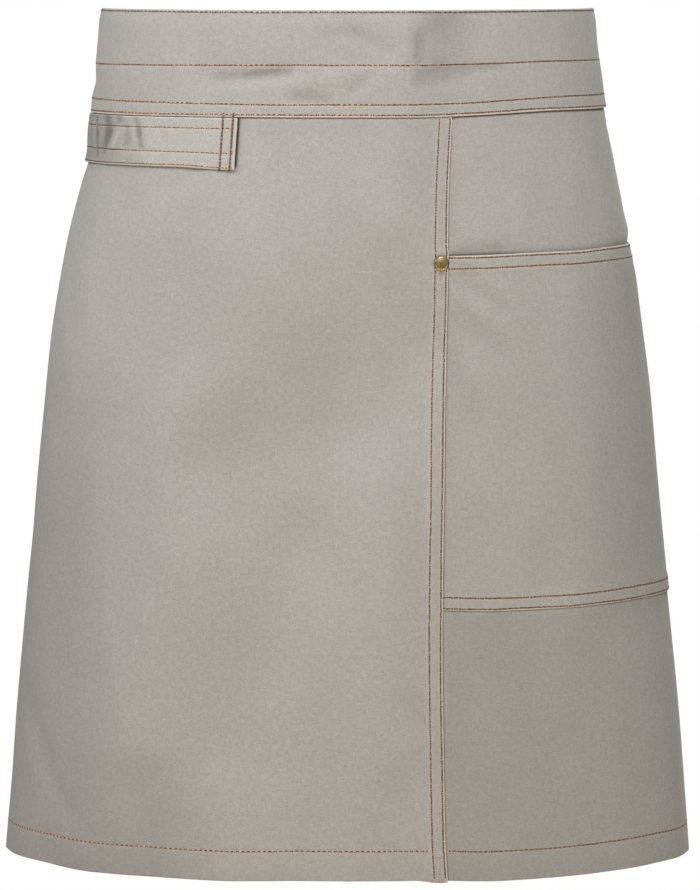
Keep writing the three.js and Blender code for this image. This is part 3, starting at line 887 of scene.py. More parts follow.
def loopLevel(across, drop):
    share = np.clip((across - loop["back"]) / (loopFront(drop) - loop["back"]), 0, 1)
    level = loop["level"] + loop["ease"] * np.sin(np.pi * share)
    level = level + np.maximum(creaseRise(loop["creases"], across, drop), -loop["sinkMost"])
    level = level + creaseRise(loop["standOff"], across, drop)
    for row in loop["rows"]:
        level = level + groove(drop - row)
    for bar in loop["bars"]:
        level = level + loop["barGroove"] * groove(loopFront(drop) - bar - across)
    inFront = fade(loop["turnDepth"], loop["turnDepth"] + loop["frontSlope"], loopFront(drop) - across)
    return level + loop["frontRise"] * inFront


# Painted shade on the strap: darker on the end that rounds the side, in its creases, and under the band's
# edge
def loopPaintedShade(across, drop):
    side = shade["loop"]
    top = shade["loopTop"]
    tone = side["dark"] * fade(*side["front"], across) * smooth(*side["back"], across)
    tone = tone + shade["loopCrease"] * sunkShade(loop["creases"], across, drop)
    under = np.exp(-np.maximum(drop - loop["top"], 0))
    return np.clip(tone + top["dark"] * under * fade(*top["across"], across), 0, 1)


def makeTowelLoop():
    topLine = loop["top"] + edgeInset
    bottomLine = loopBottom - edgeInset
    frontLine = loop["frontTop"] - edgeInset
    allowance = cloth["turn"] + loop["turnDepth"]
    dense = [edgeLines(topLine, -1), edgeLines(bottomLine, 1)]
    dense += [(row, *loop["rowLines"]) for row in loop["rows"]]
    rows = spacedLines(topLine - allowance, bottomLine + allowance, loop["step"], dense)
    dense = [edgeLines(frontLine, 1), loop["creaseLines"]]
    dense += [(loop["frontTop"] - bar, *loop["barLines"]) for bar in loop["bars"]]
    columns = spacedLines(loop["back"], frontLine + allowance, loop["step"], dense)
    piece, column, flatDrop = clothGrid("towelLoopCloth", columns, rows)
    drop, topAngle = foldBack(flatDrop, topLine, -1)
    drop, bottomAngle = foldBack(drop, bottomLine, 1)
    flatAcross = column + smooth(*loop["frontSpread"], column) * (loopFront(drop) - loop["frontTop"])
    across, frontAngle = foldBack(flatAcross, loopFront(drop) - edgeInset, 1)
    level = loopLevel(across, drop)
    axis = level - cloth["radius"] + loop["turnEase"]
    level, frontOut = turnLevel(level, level - cloth["pressedRadius"], frontAngle)
    level, topOut = turnLevel(level, axis, topAngle)
    level, bottomOut = turnLevel(level, axis, bottomAngle)
    points = wrapCloth(across + frontOut, loopDrop(across, drop - topOut + bottomOut), level)
    paleRise, mostRise = loop["creasePale"]
    edge = np.minimum(drop - loop["top"], loopBottom - drop)
    pale = np.maximum(loop["edgePale"] * edgeWearAndHighlight(edge), edgeWearAndHighlight(loopFront(drop) - across))
    # painted highlight along the ridges of the creases
    pale = np.maximum(pale, paleRise * np.clip(creaseRise(loop["creases"], across, drop), 0, mostRise))
    pale = np.maximum(pale, loop["pale"] * smooth(*loop["paleAcross"], across))
    rub = np.max([rowRub(drop - row) for row in loop["rows"]], axis=0)
    return finishSheet(piece, flatDrop, flatAcross, points, pale=pale, rub=rub, tone=loopPaintedShade(across, drop))


# Tie: a flat tube of cloth that leaves both ends of the band's tunnel and closes the waist behind
tie = {
    "top": 4.15,
    "width": 28,
    "overlap": 26,
    "radius": 0.42,
    "level": 0.3,
    "rows": [2, 26],
    "lengthDrop": 18.0,  # where the rows' length is measured
    "rowLines": (1, 0.6),  # reach and spacing of the grid's lines
    "ringStep": 3.2,
    "shareStep": 0.01,  # of its length
    "mergeReach": 0.00005,  # metres, where the tube closes
}


def makeBackTie():
    start = band["reach"] - tie["overlap"]
    straight = tie["width"] - 2 * edgeInset
    turn = cloth["turn"]
    topEnd = straight / 2
    lowEnd = 1.5 * straight + turn
    inset = tie["rows"][0]
    dense = [edgeLines(topEnd, 1), edgeLines(lowEnd, 1)]
    dense += [(topEnd - inset, *tie["rowLines"]), (lowEnd - inset, *tie["rowLines"])]
    ring = spacedLines(0, 2 * (straight + turn), tie["ringStep"], dense)
    piece, share, walked = clothGrid("backTieCloth", spacedLines(0, 1, tie["shareStep"]), ring)
    # once round: up from the middle of the inner side, over the top, down the outer side, under, and up again
    topTurn = np.clip((walked - topEnd) / turn, 0, 1)
    lowTurn = np.clip((walked - lowEnd) / turn, 0, 1)
    rise = np.minimum(walked, topEnd) - np.clip(walked - topEnd - turn, 0, straight)
    rise = rise + np.maximum(walked - lowEnd - turn, 0)
    level = tie["level"] - tie["radius"] * np.cos(np.pi * (topTurn + lowTurn))
    out = tie["radius"] * (np.sin(np.pi * topTurn) - np.sin(np.pi * lowTurn))
    drop = tie["top"] + tie["width"] / 2 - rise - out
    across = start + (2 * halfRoundAt(drop) - 2 * start) * share
    rub = np.max([rowRub(drop - tie["top"] - row) for row in tie["rows"]], axis=0)
    finishSheet(piece, walked, across, wrapCloth(across, drop, level), rub=rub)
    bm = bmesh.new()
    bm.from_mesh(piece.data)
    bmesh.ops.remove_doubles(bm, verts=bm.verts, dist=tie["mergeReach"])
    bmesh.ops.recalc_face_normals(bm, faces=bm.faces)
    bm.to_mesh(piece.data)
    bm.free()
    return piece


# Rivet: a flat brass cap with a rolled rim, a shank and a burr inside, given as radius and height
rivet = {
    "sides": 48,
    "seat": 2.2,  # level of the cap's underside
    "underside": [(1.4, -0.2), (4.2, -0.1), (4.75, 0.05)],
    "rim": [(4.92, 0.3), (4.84, 0.58), (4.6, 0.85), (4.2, 1.07), (3.8, 1.15), (3.5, 1.1), (3.3, 1.0)],
    "domeRise": 0.2,
    "domeSteps": 5,
    "burr": [(1.4, -3.6), (3.9, -3.6), (4.0, -3.75), (4.0, -4.15), (3.8, -4.35), (1.5, -4.45), (0, -4.45)],
    "mergeReach": 0.001,
}
rivetPlace = {"drop": 159.8, "inset": 4.6, "dimple": 0.55, "dimpleReach": 5.2}


def rivetAcross():
    return float(lapEdge(rivetPlace["drop"])) - rivetPlace["inset"]


def rivetAway(across, drop):
    return np.hypot(across - rivetAcross(), drop - rivetPlace["drop"])


def makeRivet():
    profile = rivet["burr"][::-1] + rivet["underside"] + rivet["rim"]
    domeRadius, domeBase = profile[-1]
    for i in range(1, rivet["domeSteps"] + 1):
        angle = math.pi / 2 * i / rivet["domeSteps"]
        radius = max(domeRadius * math.cos(angle), 0)
        profile.append((radius, domeBase + rivet["domeRise"] * math.sin(angle)))
    bm = bmesh.new()
    line = [bm.verts.new((radius, 0, height)) for radius, height in profile]
    edges = [bm.edges.new(pair) for pair in zip(line[:-1], line[1:])]
    turned = {"cent": (0, 0, 0), "axis": (0, 0, 1), "angle": 2 * math.pi, "steps": rivet["sides"]}
    bmesh.ops.spin(bm, geom=line + edges, use_merge=True, **turned)
    bmesh.ops.remove_doubles(bm, verts=bm.verts, dist=rivet["mergeReach"])
    bmesh.ops.recalc_face_normals(bm, faces=bm.faces)
    across = rivetAcross()
    drop = rivetPlace["drop"]
    seat, right, down = wrapCloth([across, across + 1, across], [drop, drop, drop + 1], rivet["seat"]) / mm
    out = Vector(down - seat).cross(Vector(right - seat)).normalized()
    turn = Vector((0, 0, 1)).rotation_difference(out).to_matrix().to_4x4()
    place = Matrix.Scale(mm, 4) @ Matrix.Translation(Vector(seat)) @ turn
    bmesh.ops.transform(bm, matrix=place, verts=bm.verts)
    piece = pieceFrom(bm, "rivetBrass")
    piece.data.shade_smooth()
    return piece


mainPanelCloth = makeMainPanel()
sidePanelCloth = makeSidePanel()
print("panels made:", len(mainPanelCloth.data.polygons), "and", len(sidePanelCloth.data.polygons), "quads")
pocketCloth = makePocket()
print("pocket made:", len(pocketCloth.data.polygons), "quads")
waistbandCloth = makeWaistband()
print("waistband made:", len(waistbandCloth.data.polygons), "quads")
towelLoopCloth = makeTowelLoop()
print("towel loop made:", len(towelLoopCloth.data.polygons), "quads")
backTieCloth = makeBackTie()
print("tie made:", len(backTieCloth.data.polygons), "quads")


# Stitches: short lengths of thread that arch over the cloth and dive into it at both ends
stitch = {
    "pitch": 3.45,
    "halfLength": 1.78,
    "halfWidth": 0.62,
    "halfHeight": 0.33,
    "arch": 0.24,
    "sink": 0.15,
    "segments": 6,
    "bluntEnds": (0.8, 0.6),  # powers that make the ends blunter than a ball's
    "waist": (0.86, 0.42),  # width at the middle, and how much more at the ends
    "tone": (0.25, 1),  # darkest and palest thread
    "hemTone": (0.7, 1),
    "sideHemTone": (0.1, 0.55),
    "lapTones": [(-0.5, 0.25), (-0.1, 0.5)],  # for the row at the edge and the inner one
    "spacing": 2.0,  # of the places that guide a row
    "phase": 6,
    "waveAcross": [(0.1, 23), (0.06, 9)],  # how a row wanders: height and length
    "waveDown": (0.08, 17),
    "aim": 0.8,  # how far ahead and behind a stitch takes its direction from
    "looseAlong": 0.06,
    "looseTurn": 0.05,
    "looseAside": 0.05,
    "looseSize": 0.06,
}


def stitchShape():
    bm = bmesh.new()
    bmesh.ops.create_uvsphere(bm, u_segments=stitch["segments"], v_segments=stitch["segments"], radius=1)
    bm.verts.ensure_lookup_table()
    ball = np.array([v.co[:] for v in bm.verts])
    faces = [[v.index for v in face.verts] for face in bm.faces]
    bm.free()
    alongPower, thickPower = stitch["bluntEnds"]
    middle, more = stitch["waist"]
    along = np.sign(ball[:, 2]) * np.abs(ball[:, 2]) ** alongPower
    thick = np.maximum(np.hypot(ball[:, 0], ball[:, 1]), 1e-6)
    swell = thick**thickPower / thick
    shape = np.empty_like(ball)
    shape[:, 0] = along * stitch["halfLength"]
    shape[:, 1] = ball[:, 0] * swell * stitch["halfWidth"] * (middle + more * along**2)
    shape[:, 2] = ball[:, 1] * swell * stitch["halfHeight"] + stitch["arch"] * (1 - along**2) - stitch["sink"]
    return shape, faces


stitchPoints, stitchFaces = stitchShape()


def seam(across, drop, level, inside=False, tone=stitch["tone"], width=1.0, pitch=stitch["pitch"]):
    across, drop, level = (np.array(a, float) for a in np.broadcast_arrays(across, drop, level))
    line = {"across": across, "drop": drop, "level": level, "inside": inside}
    darkest, palest = (np.broadcast_to(np.array(a, float), across.shape) for a in tone)
    return {**line, "darkest": darkest, "palest": palest, "width": width, "pitch": pitch}


def skinSeam(levelOf, place, inside=False, **looks):
    return seam(*place, levelOf(*place), inside, **looks)


def tonesAlong(tones, across):
    places, darkest, palest = zip(*tones)
    return np.interp(across, places, darkest), np.interp(across, places, palest)


def atLengths(values, walked, where):
    return np.stack([np.interp(where, walked, values[:, axis]) for axis in range(3)], axis=1)


def unit(vectors):
    return vectors / np.linalg.norm(vectors, axis=1, keepdims=True)


def placeStitches(line):
    side = -1 if line["inside"] else 1
    points = wrapCloth(line["across"], line["drop"], line["level"] + side * cloth["thickness"] / 2) / mm
    out = wrapCloth(line["across"], line["drop"], line["level"] + side) / mm - points
    steps = np.linalg.norm(np.diff(points, axis=0), axis=1)
    walked = np.concatenate([[0], np.cumsum(steps)])
    count = max(int(walked[-1] / line["pitch"]), 1)
    where = (np.arange(count) + 0.5) * walked[-1] / count + rng.normal(0, stitch["looseAlong"], count)
    middle = atLengths(points, walked, where)
    ahead = atLengths(points, walked, where + stitch["aim"])
    along = unit(ahead - atLengths(points, walked, where - stitch["aim"]))
    up = atLengths(out, walked, where)
    up = unit(up - along * np.sum(up * along, axis=1, keepdims=True))
    along = along + np.cross(up, along) * rng.normal(0, stitch["looseTurn"], (count, 1))
    aside = np.cross(up, along)
    middle = middle + aside * rng.normal(0, stitch["looseAside"], (count, 1))
    size = rng.normal(1, stitch["looseSize"], (count, 1, 1))
    shaped = stitchPoints[None, :, 0:1] * along[:, None] * size
    shaped = shaped + stitchPoints[None, :, 1:2] * aside[:, None] * line["width"]
    shaped = shaped + stitchPoints[None, :, 2:3] * up[:, None]
    tones = [np.interp(where, walked, line[key]) for key in ("darkest", "palest")]
    return (middle[:, None] + shaped).reshape(-1, 3), rng.uniform(*tones)


def makeStitches(name, lines):
    placed = [placeStitches(line) for line in lines]
    points = np.concatenate([line[0] for line in placed])
    tones = np.concatenate([line[1] for line in placed])
    count = len(tones)
    shift = np.arange(count) * len(stitchPoints)
    corners = (np.concatenate(stitchFaces)[None, :] + shift[:, None]).ravel()
    sizes = np.tile([len(face) for face in stitchFaces], count)
    mesh = bpy.data.meshes.new(name)
    mesh.vertices.add(len(points))
    mesh.vertices.foreach_set("co", (points * mm).ravel())
    mesh.loops.add(len(corners))
    mesh.loops.foreach_set("vertex_index", corners)
    mesh.polygons.add(len(sizes))
    mesh.polygons.foreach_set("loop_start", np.concatenate([[0], np.cumsum(sizes)[:-1]]))
    mesh.update(calc_edges=True)
    lengths = np.tile(stitchPoints[:, :2], (count, 1))  # along the thread and across it, in millimetres
    mesh.uv_layers.new(name="threadUv").data.foreach_set("uv", lengths[corners].ravel())
    addAttribute(mesh, "shade", np.repeat(tones, len(stitchPoints)))
    mesh.shade_smooth()
    mesh.validate()
    return linkPiece(name, mesh)


def rowAcross(start, stop, drop):
    across = np.arange(start, stop, stitch["spacing"])
    wander = np.zeros_like(across)
    for height, length in stitch["waveAcross"]:
        wander += height * np.sin(across / length + rng.uniform(0, stitch["phase"]))
    return across, drop + wander


def rowDown(start, stop, edge, inset):
    drop = np.arange(start, stop, stitch["spacing"])
    height, length = stitch["waveDown"]
    return edge(drop) + inset + height * np.sin(drop / length + rng.uniform(0, stitch["phase"])), drop


# Where rows begin and end: how far from the band, the lap, the hem, an end or a corner, or at which drop
rowEnds = {
    "lapTop": 1,
    "lapHem": 1.5,
    "lapInsideDrop": 528,
    "backTop": 2,
    "backHemDrop": 529,
    "backInsideDrop": 527,
    "hemBack": 2,
    "hemLap": 10,
    "hemLapInside": 20,
    "hemSide": 2,
    "hemInsideShift": 0.4,
    "pocketLap": 0.1,
    "pocketEnd": 1.5,
    "pocketCorner": 2,
    "band": 2,
    "loopBack": 2,
    "loopFront": 1,
    "tie": 1,
}


def leftBackEdge(drop):
    return -backEdge(drop)


def noCreases(across, drop):
    return 0


# Hem and back edge of a panel, each with its row outside and the row seen inside
def hemSeams(levelOf, base, creases, hemSpan, insideStop, tone, edge, inset):
    innerLevel = base - 2 * cloth["radius"]
    top = band["height"] + rowEnds["backTop"]
    lines = [skinSeam(levelOf, rowAcross(*hemSpan, panels["hemRow"]), tone=tone)]
    place = rowAcross(hemSpan[0], insideStop, panels["hemRow"] + rowEnds["hemInsideShift"])
    lines.append(seam(*place, innerLevel + creases(*place), True))
    lines.append(skinSeam(levelOf, rowDown(top, rowEnds["backHemDrop"], edge, inset)))
    lines.append(seam(*rowDown(top, rowEnds["backInsideDrop"], edge, inset), innerLevel, True))
    return lines


def mainSeams():
    lines = []
    top = band["height"] + rowEnds["lapTop"]
    for row, tone in zip(panels["lapRows"], stitch["lapTones"]):
        place = rowDown(top, panels["hem"] - rowEnds["lapHem"], lapEdge, -row)
        lines.append(skinSeam(mainLevel, place, tone=tone))
        place = rowDown(top, rowEnds["lapInsideDrop"], lapEdge, -row)
        lines.append(seam(*place, panels["sideLevel"], True))
    start = -panels["backHem"] + panels["backDepth"] - rowEnds["hemBack"]
    lap = lapEdge(panels["hemRow"])
    span = (start, lap - rowEnds["hemLap"])
    looks = (stitch["hemTone"], leftBackEdge, panels["backRow"])
    insideStop = lap - rowEnds["hemLapInside"]
    return lines + hemSeams(mainLevel, panels["mainLevel"], mainCreases, span, insideStop, *looks)


def sideSeams():
    stop = panels["backHem"] - panels["backDepth"] + rowEnds["hemBack"]
    span = (float(lapEdge(panels["hemRow"])) + rowEnds["hemSide"], stop)
    looks = (stitch["sideHemTone"], backEdge, -panels["backRow"])
    return hemSeams(sideLevel, panels["sideLevel"], noCreases, span, stop, *looks)


def pocketRow(row):
    return rowAcross(lapEdge(row) + rowEnds["pocketLap"], pocketEnd(row) - rowEnds["pocketEnd"], row)


def pocketSeams():
    lines = []
    for row in pocketRows:
        place = pocketRow(row)
        lines.append(skinSeam(pocketLevel, place, tone=tonesAlong(pocket["tones"], place[0])))
    for row in pocket["bottomRows"]:
        lines.append(seam(*pocketRow(row), panels["sideLevel"], True))
    top = pocket["mouth"] + rowEnds["pocketCorner"]
    end = rowDown(top, pocket["bottom"] - rowEnds["pocketCorner"], pocketEnd, -pocket["endRow"])
    lines.append(seam(*end, pocketLevel(*end) + pocket["foldRise"]))
    lines.append(seam(*end, panels["sideLevel"], True))
    return lines


def bandSeams():
    lines = []
    reach = band["reach"] - rowEnds["band"]
    for row in band["rows"]:
        across, wander = rowAcross(-reach, reach, 0)
        place = (across, wander + bandRow(row, across))
        lines.append(skinSeam(bandOuter, place, tone=tonesAlong(band["tones"], across)))
        lines.append(skinSeam(bandInner, place, True))
    return lines


def loopSeams():
    lines = []
    for row in loop["rows"]:
        stop = loopFront(row) - rowEnds["loopFront"]
        across, drop = rowAcross(loop["back"] + rowEnds["loopBack"], stop, row)
        looks = {"tone": tonesAlong(loop["tones"], across), "width": loop["rowWidth"]}
        lines.append(seam(across, loopDrop(across, drop), loopLevel(across, drop), **looks))
    return lines


def barSeams():
    lines = []
    looks = {"tone": loop["barTone"], "width": loop["barWidth"], "pitch": loop["barPitch"]}
    for bar in loop["bars"]:
        for shift in loop["barPairs"]:
            start = band["height"] - loop["barLap"]
            place = rowDown(start, loopBottom + loop["barReach"], loopFront, shift - bar)
            onBand = fade(*loop["barStep"], place[1] - band["height"])
            level = onBand * bandOuter(*place) + (1 - onBand) * (loopLevel(*place) + loop["barRise"])
            lines.append(seam(*place, level, **looks))
    return lines


def tieSeams():
    lines = []
    start = band["reach"] - tie["overlap"]
    finish = 2 * float(halfRoundAt(tie["lengthDrop"])) - start
    across = np.arange(start + rowEnds["tie"], finish - rowEnds["tie"], stitch["spacing"])
    for row in tie["rows"]:
        lines.append(seam(across, tie["top"] + row, tie["level"] + tie["radius"]))
        lines.append(seam(across, tie["top"] + row, tie["level"] - tie["radius"], True))
    return lines


mainPanelStitches = makeStitches("mainPanelStitches", mainSeams())
sidePanelStitches = makeStitches("sidePanelStitches", sideSeams())
pocketStitches = makeStitches("pocketStitches", pocketSeams())
waistbandStitches = makeStitches("waistbandStitches", bandSeams())
towelLoopStitches = makeStitches("towelLoopStitches", loopSeams())
towelLoopBars = makeStitches("towelLoopBars", barSeams())
backTieStitches = makeStitches("backTieStitches", tieSeams())
print("stitches sewn:", len(waistbandStitches.data.polygons) // len(stitchFaces), "in the waistband")
rivetBrass = makeRivet()
print("rivet made:", len(rivetBrass.data.polygons), "faces")


# Materials
bandsPerUnit = 3.18  # of a wave node at scale one


def srgb(red, green, blue):
    linear = [c / 255 / 12.92 if c < 10.3 else ((c / 255 + 0.055) / 1.055) ** 2.4 for c in (red, green, blue)]
    return (*linear, 1)


class Nodes:
    def __init__(self, name):
        self.material = bpy.data.materials.new(name)
        self.material.use_nodes = True
        self.tree = self.material.node_tree
        self.shader = self.tree.nodes["Principled BSDF"]

    def plug(self, socket, value):
        if isinstance(value, bpy.types.NodeSocket):
            self.tree.links.new(value, socket)
        else:
            socket.default_value = value

    def add(self, kind, settings, inputs):
        node = self.tree.nodes.new(kind)
        for key, value in settings.items():
            setattr(node, key, value)
        for key, value in inputs.items():
            self.plug(node.inputs[key], value)
        return node

    def finish(self, inputs):
        for key, value in inputs.items():
            self.plug(self.shader.inputs[key], value)
        return self.material

    def math(self, operation, first, second=0.0):
        return self.add("ShaderNodeMath", {"operation": operation}, {0: first, 1: second}).outputs[0]

    def weigh(self, first, firstShare, second, secondShare):
        first = self.math("MULTIPLY", first, firstShare)
        return self.math("ADD", first, self.math("MULTIPLY", second, secondShare))

    def mix(self, share, first, second, blend="MIX"):
        settings = {"data_type": "RGBA", "blend_type": blend}
        return self.add("ShaderNodeMix", settings, {0: share, 6: first, 7: second}).outputs[2]

    def span(self, value, fromLow, fromHigh, toLow=0.0, toHigh=1.0):
        inputs = {0: value, 1: fromLow, 2: fromHigh, 3: toLow, 4: toHigh}
        return self.add("ShaderNodeMapRange", {}, inputs).outputs[0]

    def noise(self, vector, scale, detail=2.0, roughness=0.5):
        inputs = {"Vector": vector, "Scale": scale, "Detail": detail, "Roughness": roughness}
        return self.add("ShaderNodeTexNoise", {}, inputs).outputs[0]

    def place(self):
        return self.add("ShaderNodeTexCoord", {}, {}).outputs["Object"]

    def flat(self, name):
        return self.add("ShaderNodeUVMap", {"uv_map": name}, {}).outputs[0]

    def attribute(self, name):
        return self.add("ShaderNodeAttribute", {"attribute_name": name}, {}).outputs[2]

    def mapped(self, vector, **inputs):
        return self.add("ShaderNodeMapping", {}, {"Vector": vector, **inputs}).outputs[0]

    def bands(self, vector, pitch, inputs):
        inputs = {"Vector": vector, "Scale": 1 / pitch / bandsPerUnit, **inputs}
        settings = {"wave_type": "BANDS", "bands_direction": "X"}
        return self.add("ShaderNodeTexWave", settings, inputs).outputs[1]

    def bump(self, strength, distance, height):
        inputs = {"Strength": strength, "Distance": distance, "Height": height}
        return self.add("ShaderNodeBump", {}, inputs).outputs[0]


twill = {
    "light": srgb(181, 177, 172),
    "dark": srgb(144, 140, 134),
    "paleEdge": srgb(236, 224, 210),
    "rowPale": srgb(208, 184, 160),
    # the colour that the painted shade darkens the cloth towards
    "paintedShade": srgb(84, 78, 68),
    "warm": srgb(255, 251, 247),
    "cool": srgb(250, 252, 255),
    "pitch": 0.00082,  # between twill lines, metres
    "lean": math.radians(27),
    "lines": {"Distortion": 1.6, "Detail": 1.0, "Detail Scale": 1.4},
    "warpStretch": (1, 0.18, 1),
    "weftStretch": (0.2, 1, 1),
    "yarn": (900, 3, 0.6),  # scale, detail and roughness of the noises
    "speck": (1100, 2, 0.7),
    "cloud": (26, 3, 0.55),
    "mottle": (330, 3, 0.62),
    "tint": (420, 3, 0.6),
    "tintPlace": (3, 5, 0),
    "sheen": 0.12,
    "sheenRoughness": 0.5,
    "specular": 0.25,
    "bump": (0.5, 0.00016),
}


def makeTwill(name, withPaintedShade):
    nodes = Nodes(name)
    uv = nodes.flat("clothUv")
    lines = nodes.bands(nodes.mapped(uv, Rotation=(0, 0, twill["lean"])), twill["pitch"], twill["lines"])
    warp = nodes.noise(nodes.mapped(uv, Scale=twill["warpStretch"]), *twill["yarn"])
    weft = nodes.noise(nodes.mapped(uv, Scale=twill["weftStretch"]), *twill["yarn"])
    speck = nodes.noise(uv, *twill["speck"])
    cloud = nodes.noise(uv, *twill["cloud"])
    mottle = nodes.noise(uv, *twill["mottle"])
    tint = nodes.noise(nodes.mapped(uv, Location=twill["tintPlace"]), *twill["tint"])
    grain = nodes.weigh(nodes.weigh(warp, 0.5, weft, 0.5), 0.4, speck, 0.6)
    grain = nodes.weigh(grain, 0.72, mottle, 0.28)
    weave = nodes.weigh(grain, 0.9, lines, 0.1)
    colour = nodes.mix(nodes.span(weave, 0.34, 0.64), twill["dark"], twill["light"])
    colour = nodes.mix(nodes.span(cloud, 0.3, 0.7, 0.0, 0.22), colour, twill["dark"])
    cast = nodes.mix(nodes.span(tint, 0.3, 0.7), twill["warm"], twill["cool"])
    colour = nodes.mix(1.0, colour, cast, "MULTIPLY")
    # Painted shade: the tone attribute darkens the twill towards the painted-shade colour
    if withPaintedShade:
        shaded = nodes.mix(1.0, colour, twill["paintedShade"], "MULTIPLY")
        colour = nodes.mix(nodes.attribute("tone"), colour, shaded)
    # Pale along folded edges, wear with a painted highlight, and painted highlights on the loop's crease
    # ridges
    rubbed = nodes.math("ADD", nodes.attribute("pale"), nodes.math("MULTIPLY", speck, 0.35))
    colour = nodes.mix(nodes.span(rubbed, 0.5, 1.15, 0.0, 0.85), colour, twill["paleEdge"])
    beside = nodes.math("MULTIPLY", nodes.attribute("rub"), nodes.span(speck, 0.3, 0.7, 0.12, 0.4))
    colour = nodes.mix(beside, colour, twill["rowPale"])
    return nodes.finish({
        "Base Color": colour,
        "Roughness": nodes.span(weave, 0.3, 0.7, 0.9, 0.76),
        "Normal": nodes.bump(*twill["bump"], nodes.weigh(lines, 0.5, grain, 0.9)),
        "Sheen Weight": twill["sheen"],
        "Sheen Roughness": twill["sheenRoughness"],
        "Specular IOR Level": twill["specular"],
    })


thread = {
    # painted shade of a needle hole, where the thread dives into the cloth
    "hole": srgb(40, 14, 3),
    # darker copper in the grooves between the twisted plies, painted shade
    "plyGrooveShade": srgb(106, 76, 54),
    "copper": srgb(148, 110, 82),
    "peach": srgb(208, 168, 136),
    "plyPitch": 0.42,  # millimetres
    "plyLean": math.radians(38),
    "plies": {"Distortion": 0.4},
    "dive": (0.34, 0.64),  # shares of half a stitch over which it goes dark with the painted shade of its needle hole
    "sheen": 0.15,
    "bump": (0.6, 0.00012),
}


def makeThread():
    nodes = Nodes("copperThread")
    uv = nodes.flat("threadUv")
    turned = nodes.mapped(uv, Rotation=(0, 0, thread["plyLean"]))
    plies = nodes.bands(turned, thread["plyPitch"], thread["plies"])
    tone = nodes.attribute("shade")
    # Painted shade in the twist's grooves, copper on the plies
    colour = nodes.mix(nodes.span(plies, 0.1, 0.9), thread["plyGrooveShade"], thread["copper"])
    colour = nodes.mix(nodes.span(tone, 0.0, 1.0, 0.0, 0.9), colour, thread["peach"])
    # A tone below zero darkens whole stitches towards the same colour, partly painted shade where a row lies
    # in shade
    colour = nodes.mix(nodes.span(tone, -1.0, 0.0, 0.9, 0.0), colour, thread["hole"])
    # Painted shade at both ends of each stitch, where it dives into its needle hole
    along = nodes.math("ABSOLUTE", nodes.add("ShaderNodeSeparateXYZ", {}, {0: uv}).outputs[0])
    dive = nodes.span(along, *(share * stitch["halfLength"] for share in thread["dive"]))
    return nodes.finish({
        "Base Color": nodes.mix(dive, colour, thread["hole"]),
        "Roughness": nodes.span(tone, 0, 1, 0.5, 0.68),
        "Normal": nodes.bump(*thread["bump"], plies),
        "Sheen Weight": thread["sheen"],
    })


brass = {
    "bright": srgb(202, 178, 122),
    "aged": srgb(116, 88, 46),
    "deep": srgb(62, 44, 24),
    "blotch": (520, 4, 0.6),  # scale, detail and roughness of the noises
    "fleck": (2600, 3, 0.6),
    "bump": (0.35, 0.0001),
}


def makeBrass():
    nodes = Nodes("agedBrass")
    place = nodes.place()
    blotch = nodes.noise(place, *brass["blotch"])
    fleck = nodes.noise(place, *brass["fleck"])
    mottle = nodes.weigh(blotch, 0.65, fleck, 0.35)
    colour = nodes.mix(nodes.span(mottle, 0.36, 0.6), brass["aged"], brass["bright"])
    return nodes.finish({
        "Base Color": nodes.mix(nodes.span(fleck, 0.6, 0.75, 0.0, 0.6), colour, brass["deep"]),
        "Roughness": nodes.span(mottle, 0.35, 0.65, 0.5, 0.33),
        "Normal": nodes.bump(*brass["bump"], mottle),
        "Metallic": 1.0,
    })


apronTwill = makeTwill("apronTwill", True)
innerTwill = makeTwill("innerTwill", False)
copperThread = makeThread()
agedBrass = makeBrass()

clothPieces = {
    mainPanelCloth: "main_panel",
    sidePanelCloth: "side_panel",
    pocketCloth: "pocket",
    waistbandCloth: "waistband",
    towelLoopCloth: "towel_loop",
    backTieCloth: "back_tie",
}
threadPieces = [
    mainPanelStitches,
    sidePanelStitches,
    pocketStitches,
    waistbandStitches,
    towelLoopStitches,
    towelLoopBars,
    backTieStitches,
]
for piece, node in clothPieces.items():
    piece.data.materials.append(apronTwill)
    piece.data.materials.append(innerTwill)
    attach(piece, "root")
    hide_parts(node)
for piece in threadPieces:
    piece.data.materials.append(copperThread)
    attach(piece, "root")
rivetBrass.data.materials.append(agedBrass)
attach(rivetBrass, "root")
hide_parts("rivet")


def declareSheet(piece):
    mesh = piece.data
    uv = np.empty(len(mesh.loops) * 2)
    mesh.uv_layers["clothUv"].data.foreach_get("uv", uv)
    width, height = (float(side) for side in np.ptp(uv.reshape(-1, 2), axis=0))
    quads = uv.reshape(-1, 4, 2)
    first = quads[:, 2] - quads[:, 0]
    second = quads[:, 3] - quads[:, 1]
    area = float(np.abs(first[:, 0] * second[:, 1] - first[:, 1] * second[:, 0]).sum() / 2)
    area = min(area, width * height)
    print(piece.name, "cut", round(width, 3), "by", round(height, 3), "m, area", round(area, 4))


declareSheet(mainPanelCloth)
declareSheet(sidePanelCloth)
declareSheet(pocketCloth)
declareSheet(waistbandCloth)
declareSheet(towelLoopCloth)
declareSheet(backTieCloth)


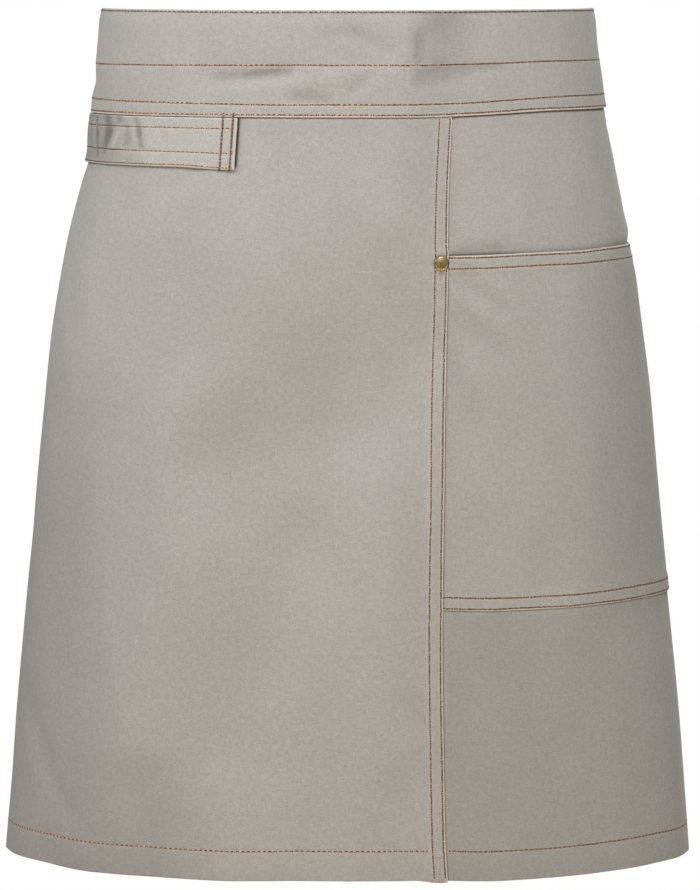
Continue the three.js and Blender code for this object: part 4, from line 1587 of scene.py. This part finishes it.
# Studio: a pale round floor at the height of a standing wearer's feet, soft light from the left and above
studio = {
    "floorHeight": -1.0,
    "floorRadius": 2.4,
    "floorSides": 96,
    "floorColours": [(0.86, 0.86, 0.85, 1), (0.9, 0.9, 0.89, 1)],
    "floorDrift": 1.5,
    "floorRoughness": 0.9,
    "floorGlow": 0.22,
    "floorGlowColour": (1, 0.88, 0.74, 1),
    "aim": (0, 0, -0.2),
    "backdrop": (1, 1, 1, 1),
    "ambient": 0.11,
    "ambientColour": (1, 0.83, 0.52, 1),
    "lamps": [  # name, place, size, watts, colour
        ("left", (-1.26, -0.34, 0.89), 0.85, 21.2, (0.895, 0.938, 1)),
        ("top", (0.45, -1.22, 0.89), 0.85, 24.6, (0.897, 0.959, 1)),
        ("low", (0, -1.6, -0.74), 0.5, 4.0, (1, 0.76, 0.62)),
        ("back", (0.7, 1.9, 0.8), 1.2, 26, (1, 0.97, 0.93)),
    ],
}


def makeFloor():
    bm = bmesh.new()
    bmesh.ops.create_circle(bm, cap_ends=True, segments=studio["floorSides"], radius=studio["floorRadius"])
    bmesh.ops.translate(bm, vec=(0, 0, studio["floorHeight"]), verts=bm.verts)
    floor = pieceFrom(bm, "paleFloor")
    nodes = Nodes("palePaint")
    drift = nodes.span(nodes.noise(nodes.place(), studio["floorDrift"]), 0.3, 0.7)
    floor.data.materials.append(nodes.finish({
        "Base Color": nodes.mix(drift, *studio["floorColours"]),
        "Roughness": studio["floorRoughness"],
        "Emission Color": studio["floorGlowColour"],
        "Emission Strength": studio["floorGlow"],
    }))


def addLight(name, place, size, power, colour):
    light = bpy.data.lights.new(name, "AREA")
    light.shape = "DISK"
    light.size = size
    light.energy = power
    light.color = colour
    lamp = linkPiece(name, light)
    lamp.location = place
    lamp.visible_camera = False
    lamp.rotation_euler = (Vector(studio["aim"]) - Vector(place)).to_track_quat("-Z", "Y").to_euler()


def makeWorld():
    world = bpy.data.worlds.new("paleStudio")
    world.use_nodes = True
    tree = world.node_tree
    tree.nodes.clear()
    path = tree.nodes.new("ShaderNodeLightPath")
    either = tree.nodes.new("ShaderNodeMixShader")
    output = tree.nodes.new("ShaderNodeOutputWorld")
    tree.links.new(path.outputs["Is Camera Ray"], either.inputs[0])
    skies = [(studio["ambientColour"], studio["ambient"]), (studio["backdrop"], 1.0)]
    for socket, (colour, strength) in enumerate(skies, start=1):
        sky = tree.nodes.new("ShaderNodeBackground")
        sky.inputs["Color"].default_value = colour
        sky.inputs["Strength"].default_value = strength
        tree.links.new(sky.outputs[0], either.inputs[socket])
    tree.links.new(either.outputs[0], output.inputs[0])
    bpy.context.scene.world = world


makeFloor()
for lamp in studio["lamps"]:
    addLight(*lamp)
makeWorld()
bpy.context.scene.view_settings.view_transform = "Standard"

# Camera: a long lens at the apron's height, looking down a little
view = {"place": (0.0016, -4.0183, 0.0895), "pitchDown": 4.845, "lens": 249.67, "sensor": 36, "clipEnd": 100}
camera = bpy.data.cameras.new("photoCamera")
camera.lens = view["lens"]
camera.sensor_width = view["sensor"]
camera.clip_end = view["clipEnd"]
cameraObject = linkPiece("photoCamera", camera)
cameraObject.location = view["place"]
cameraObject.rotation_euler = (math.radians(90 - view["pitchDown"]), 0, 0)
bpy.context.scene.camera = cameraObject
print("studio lit and camera set")
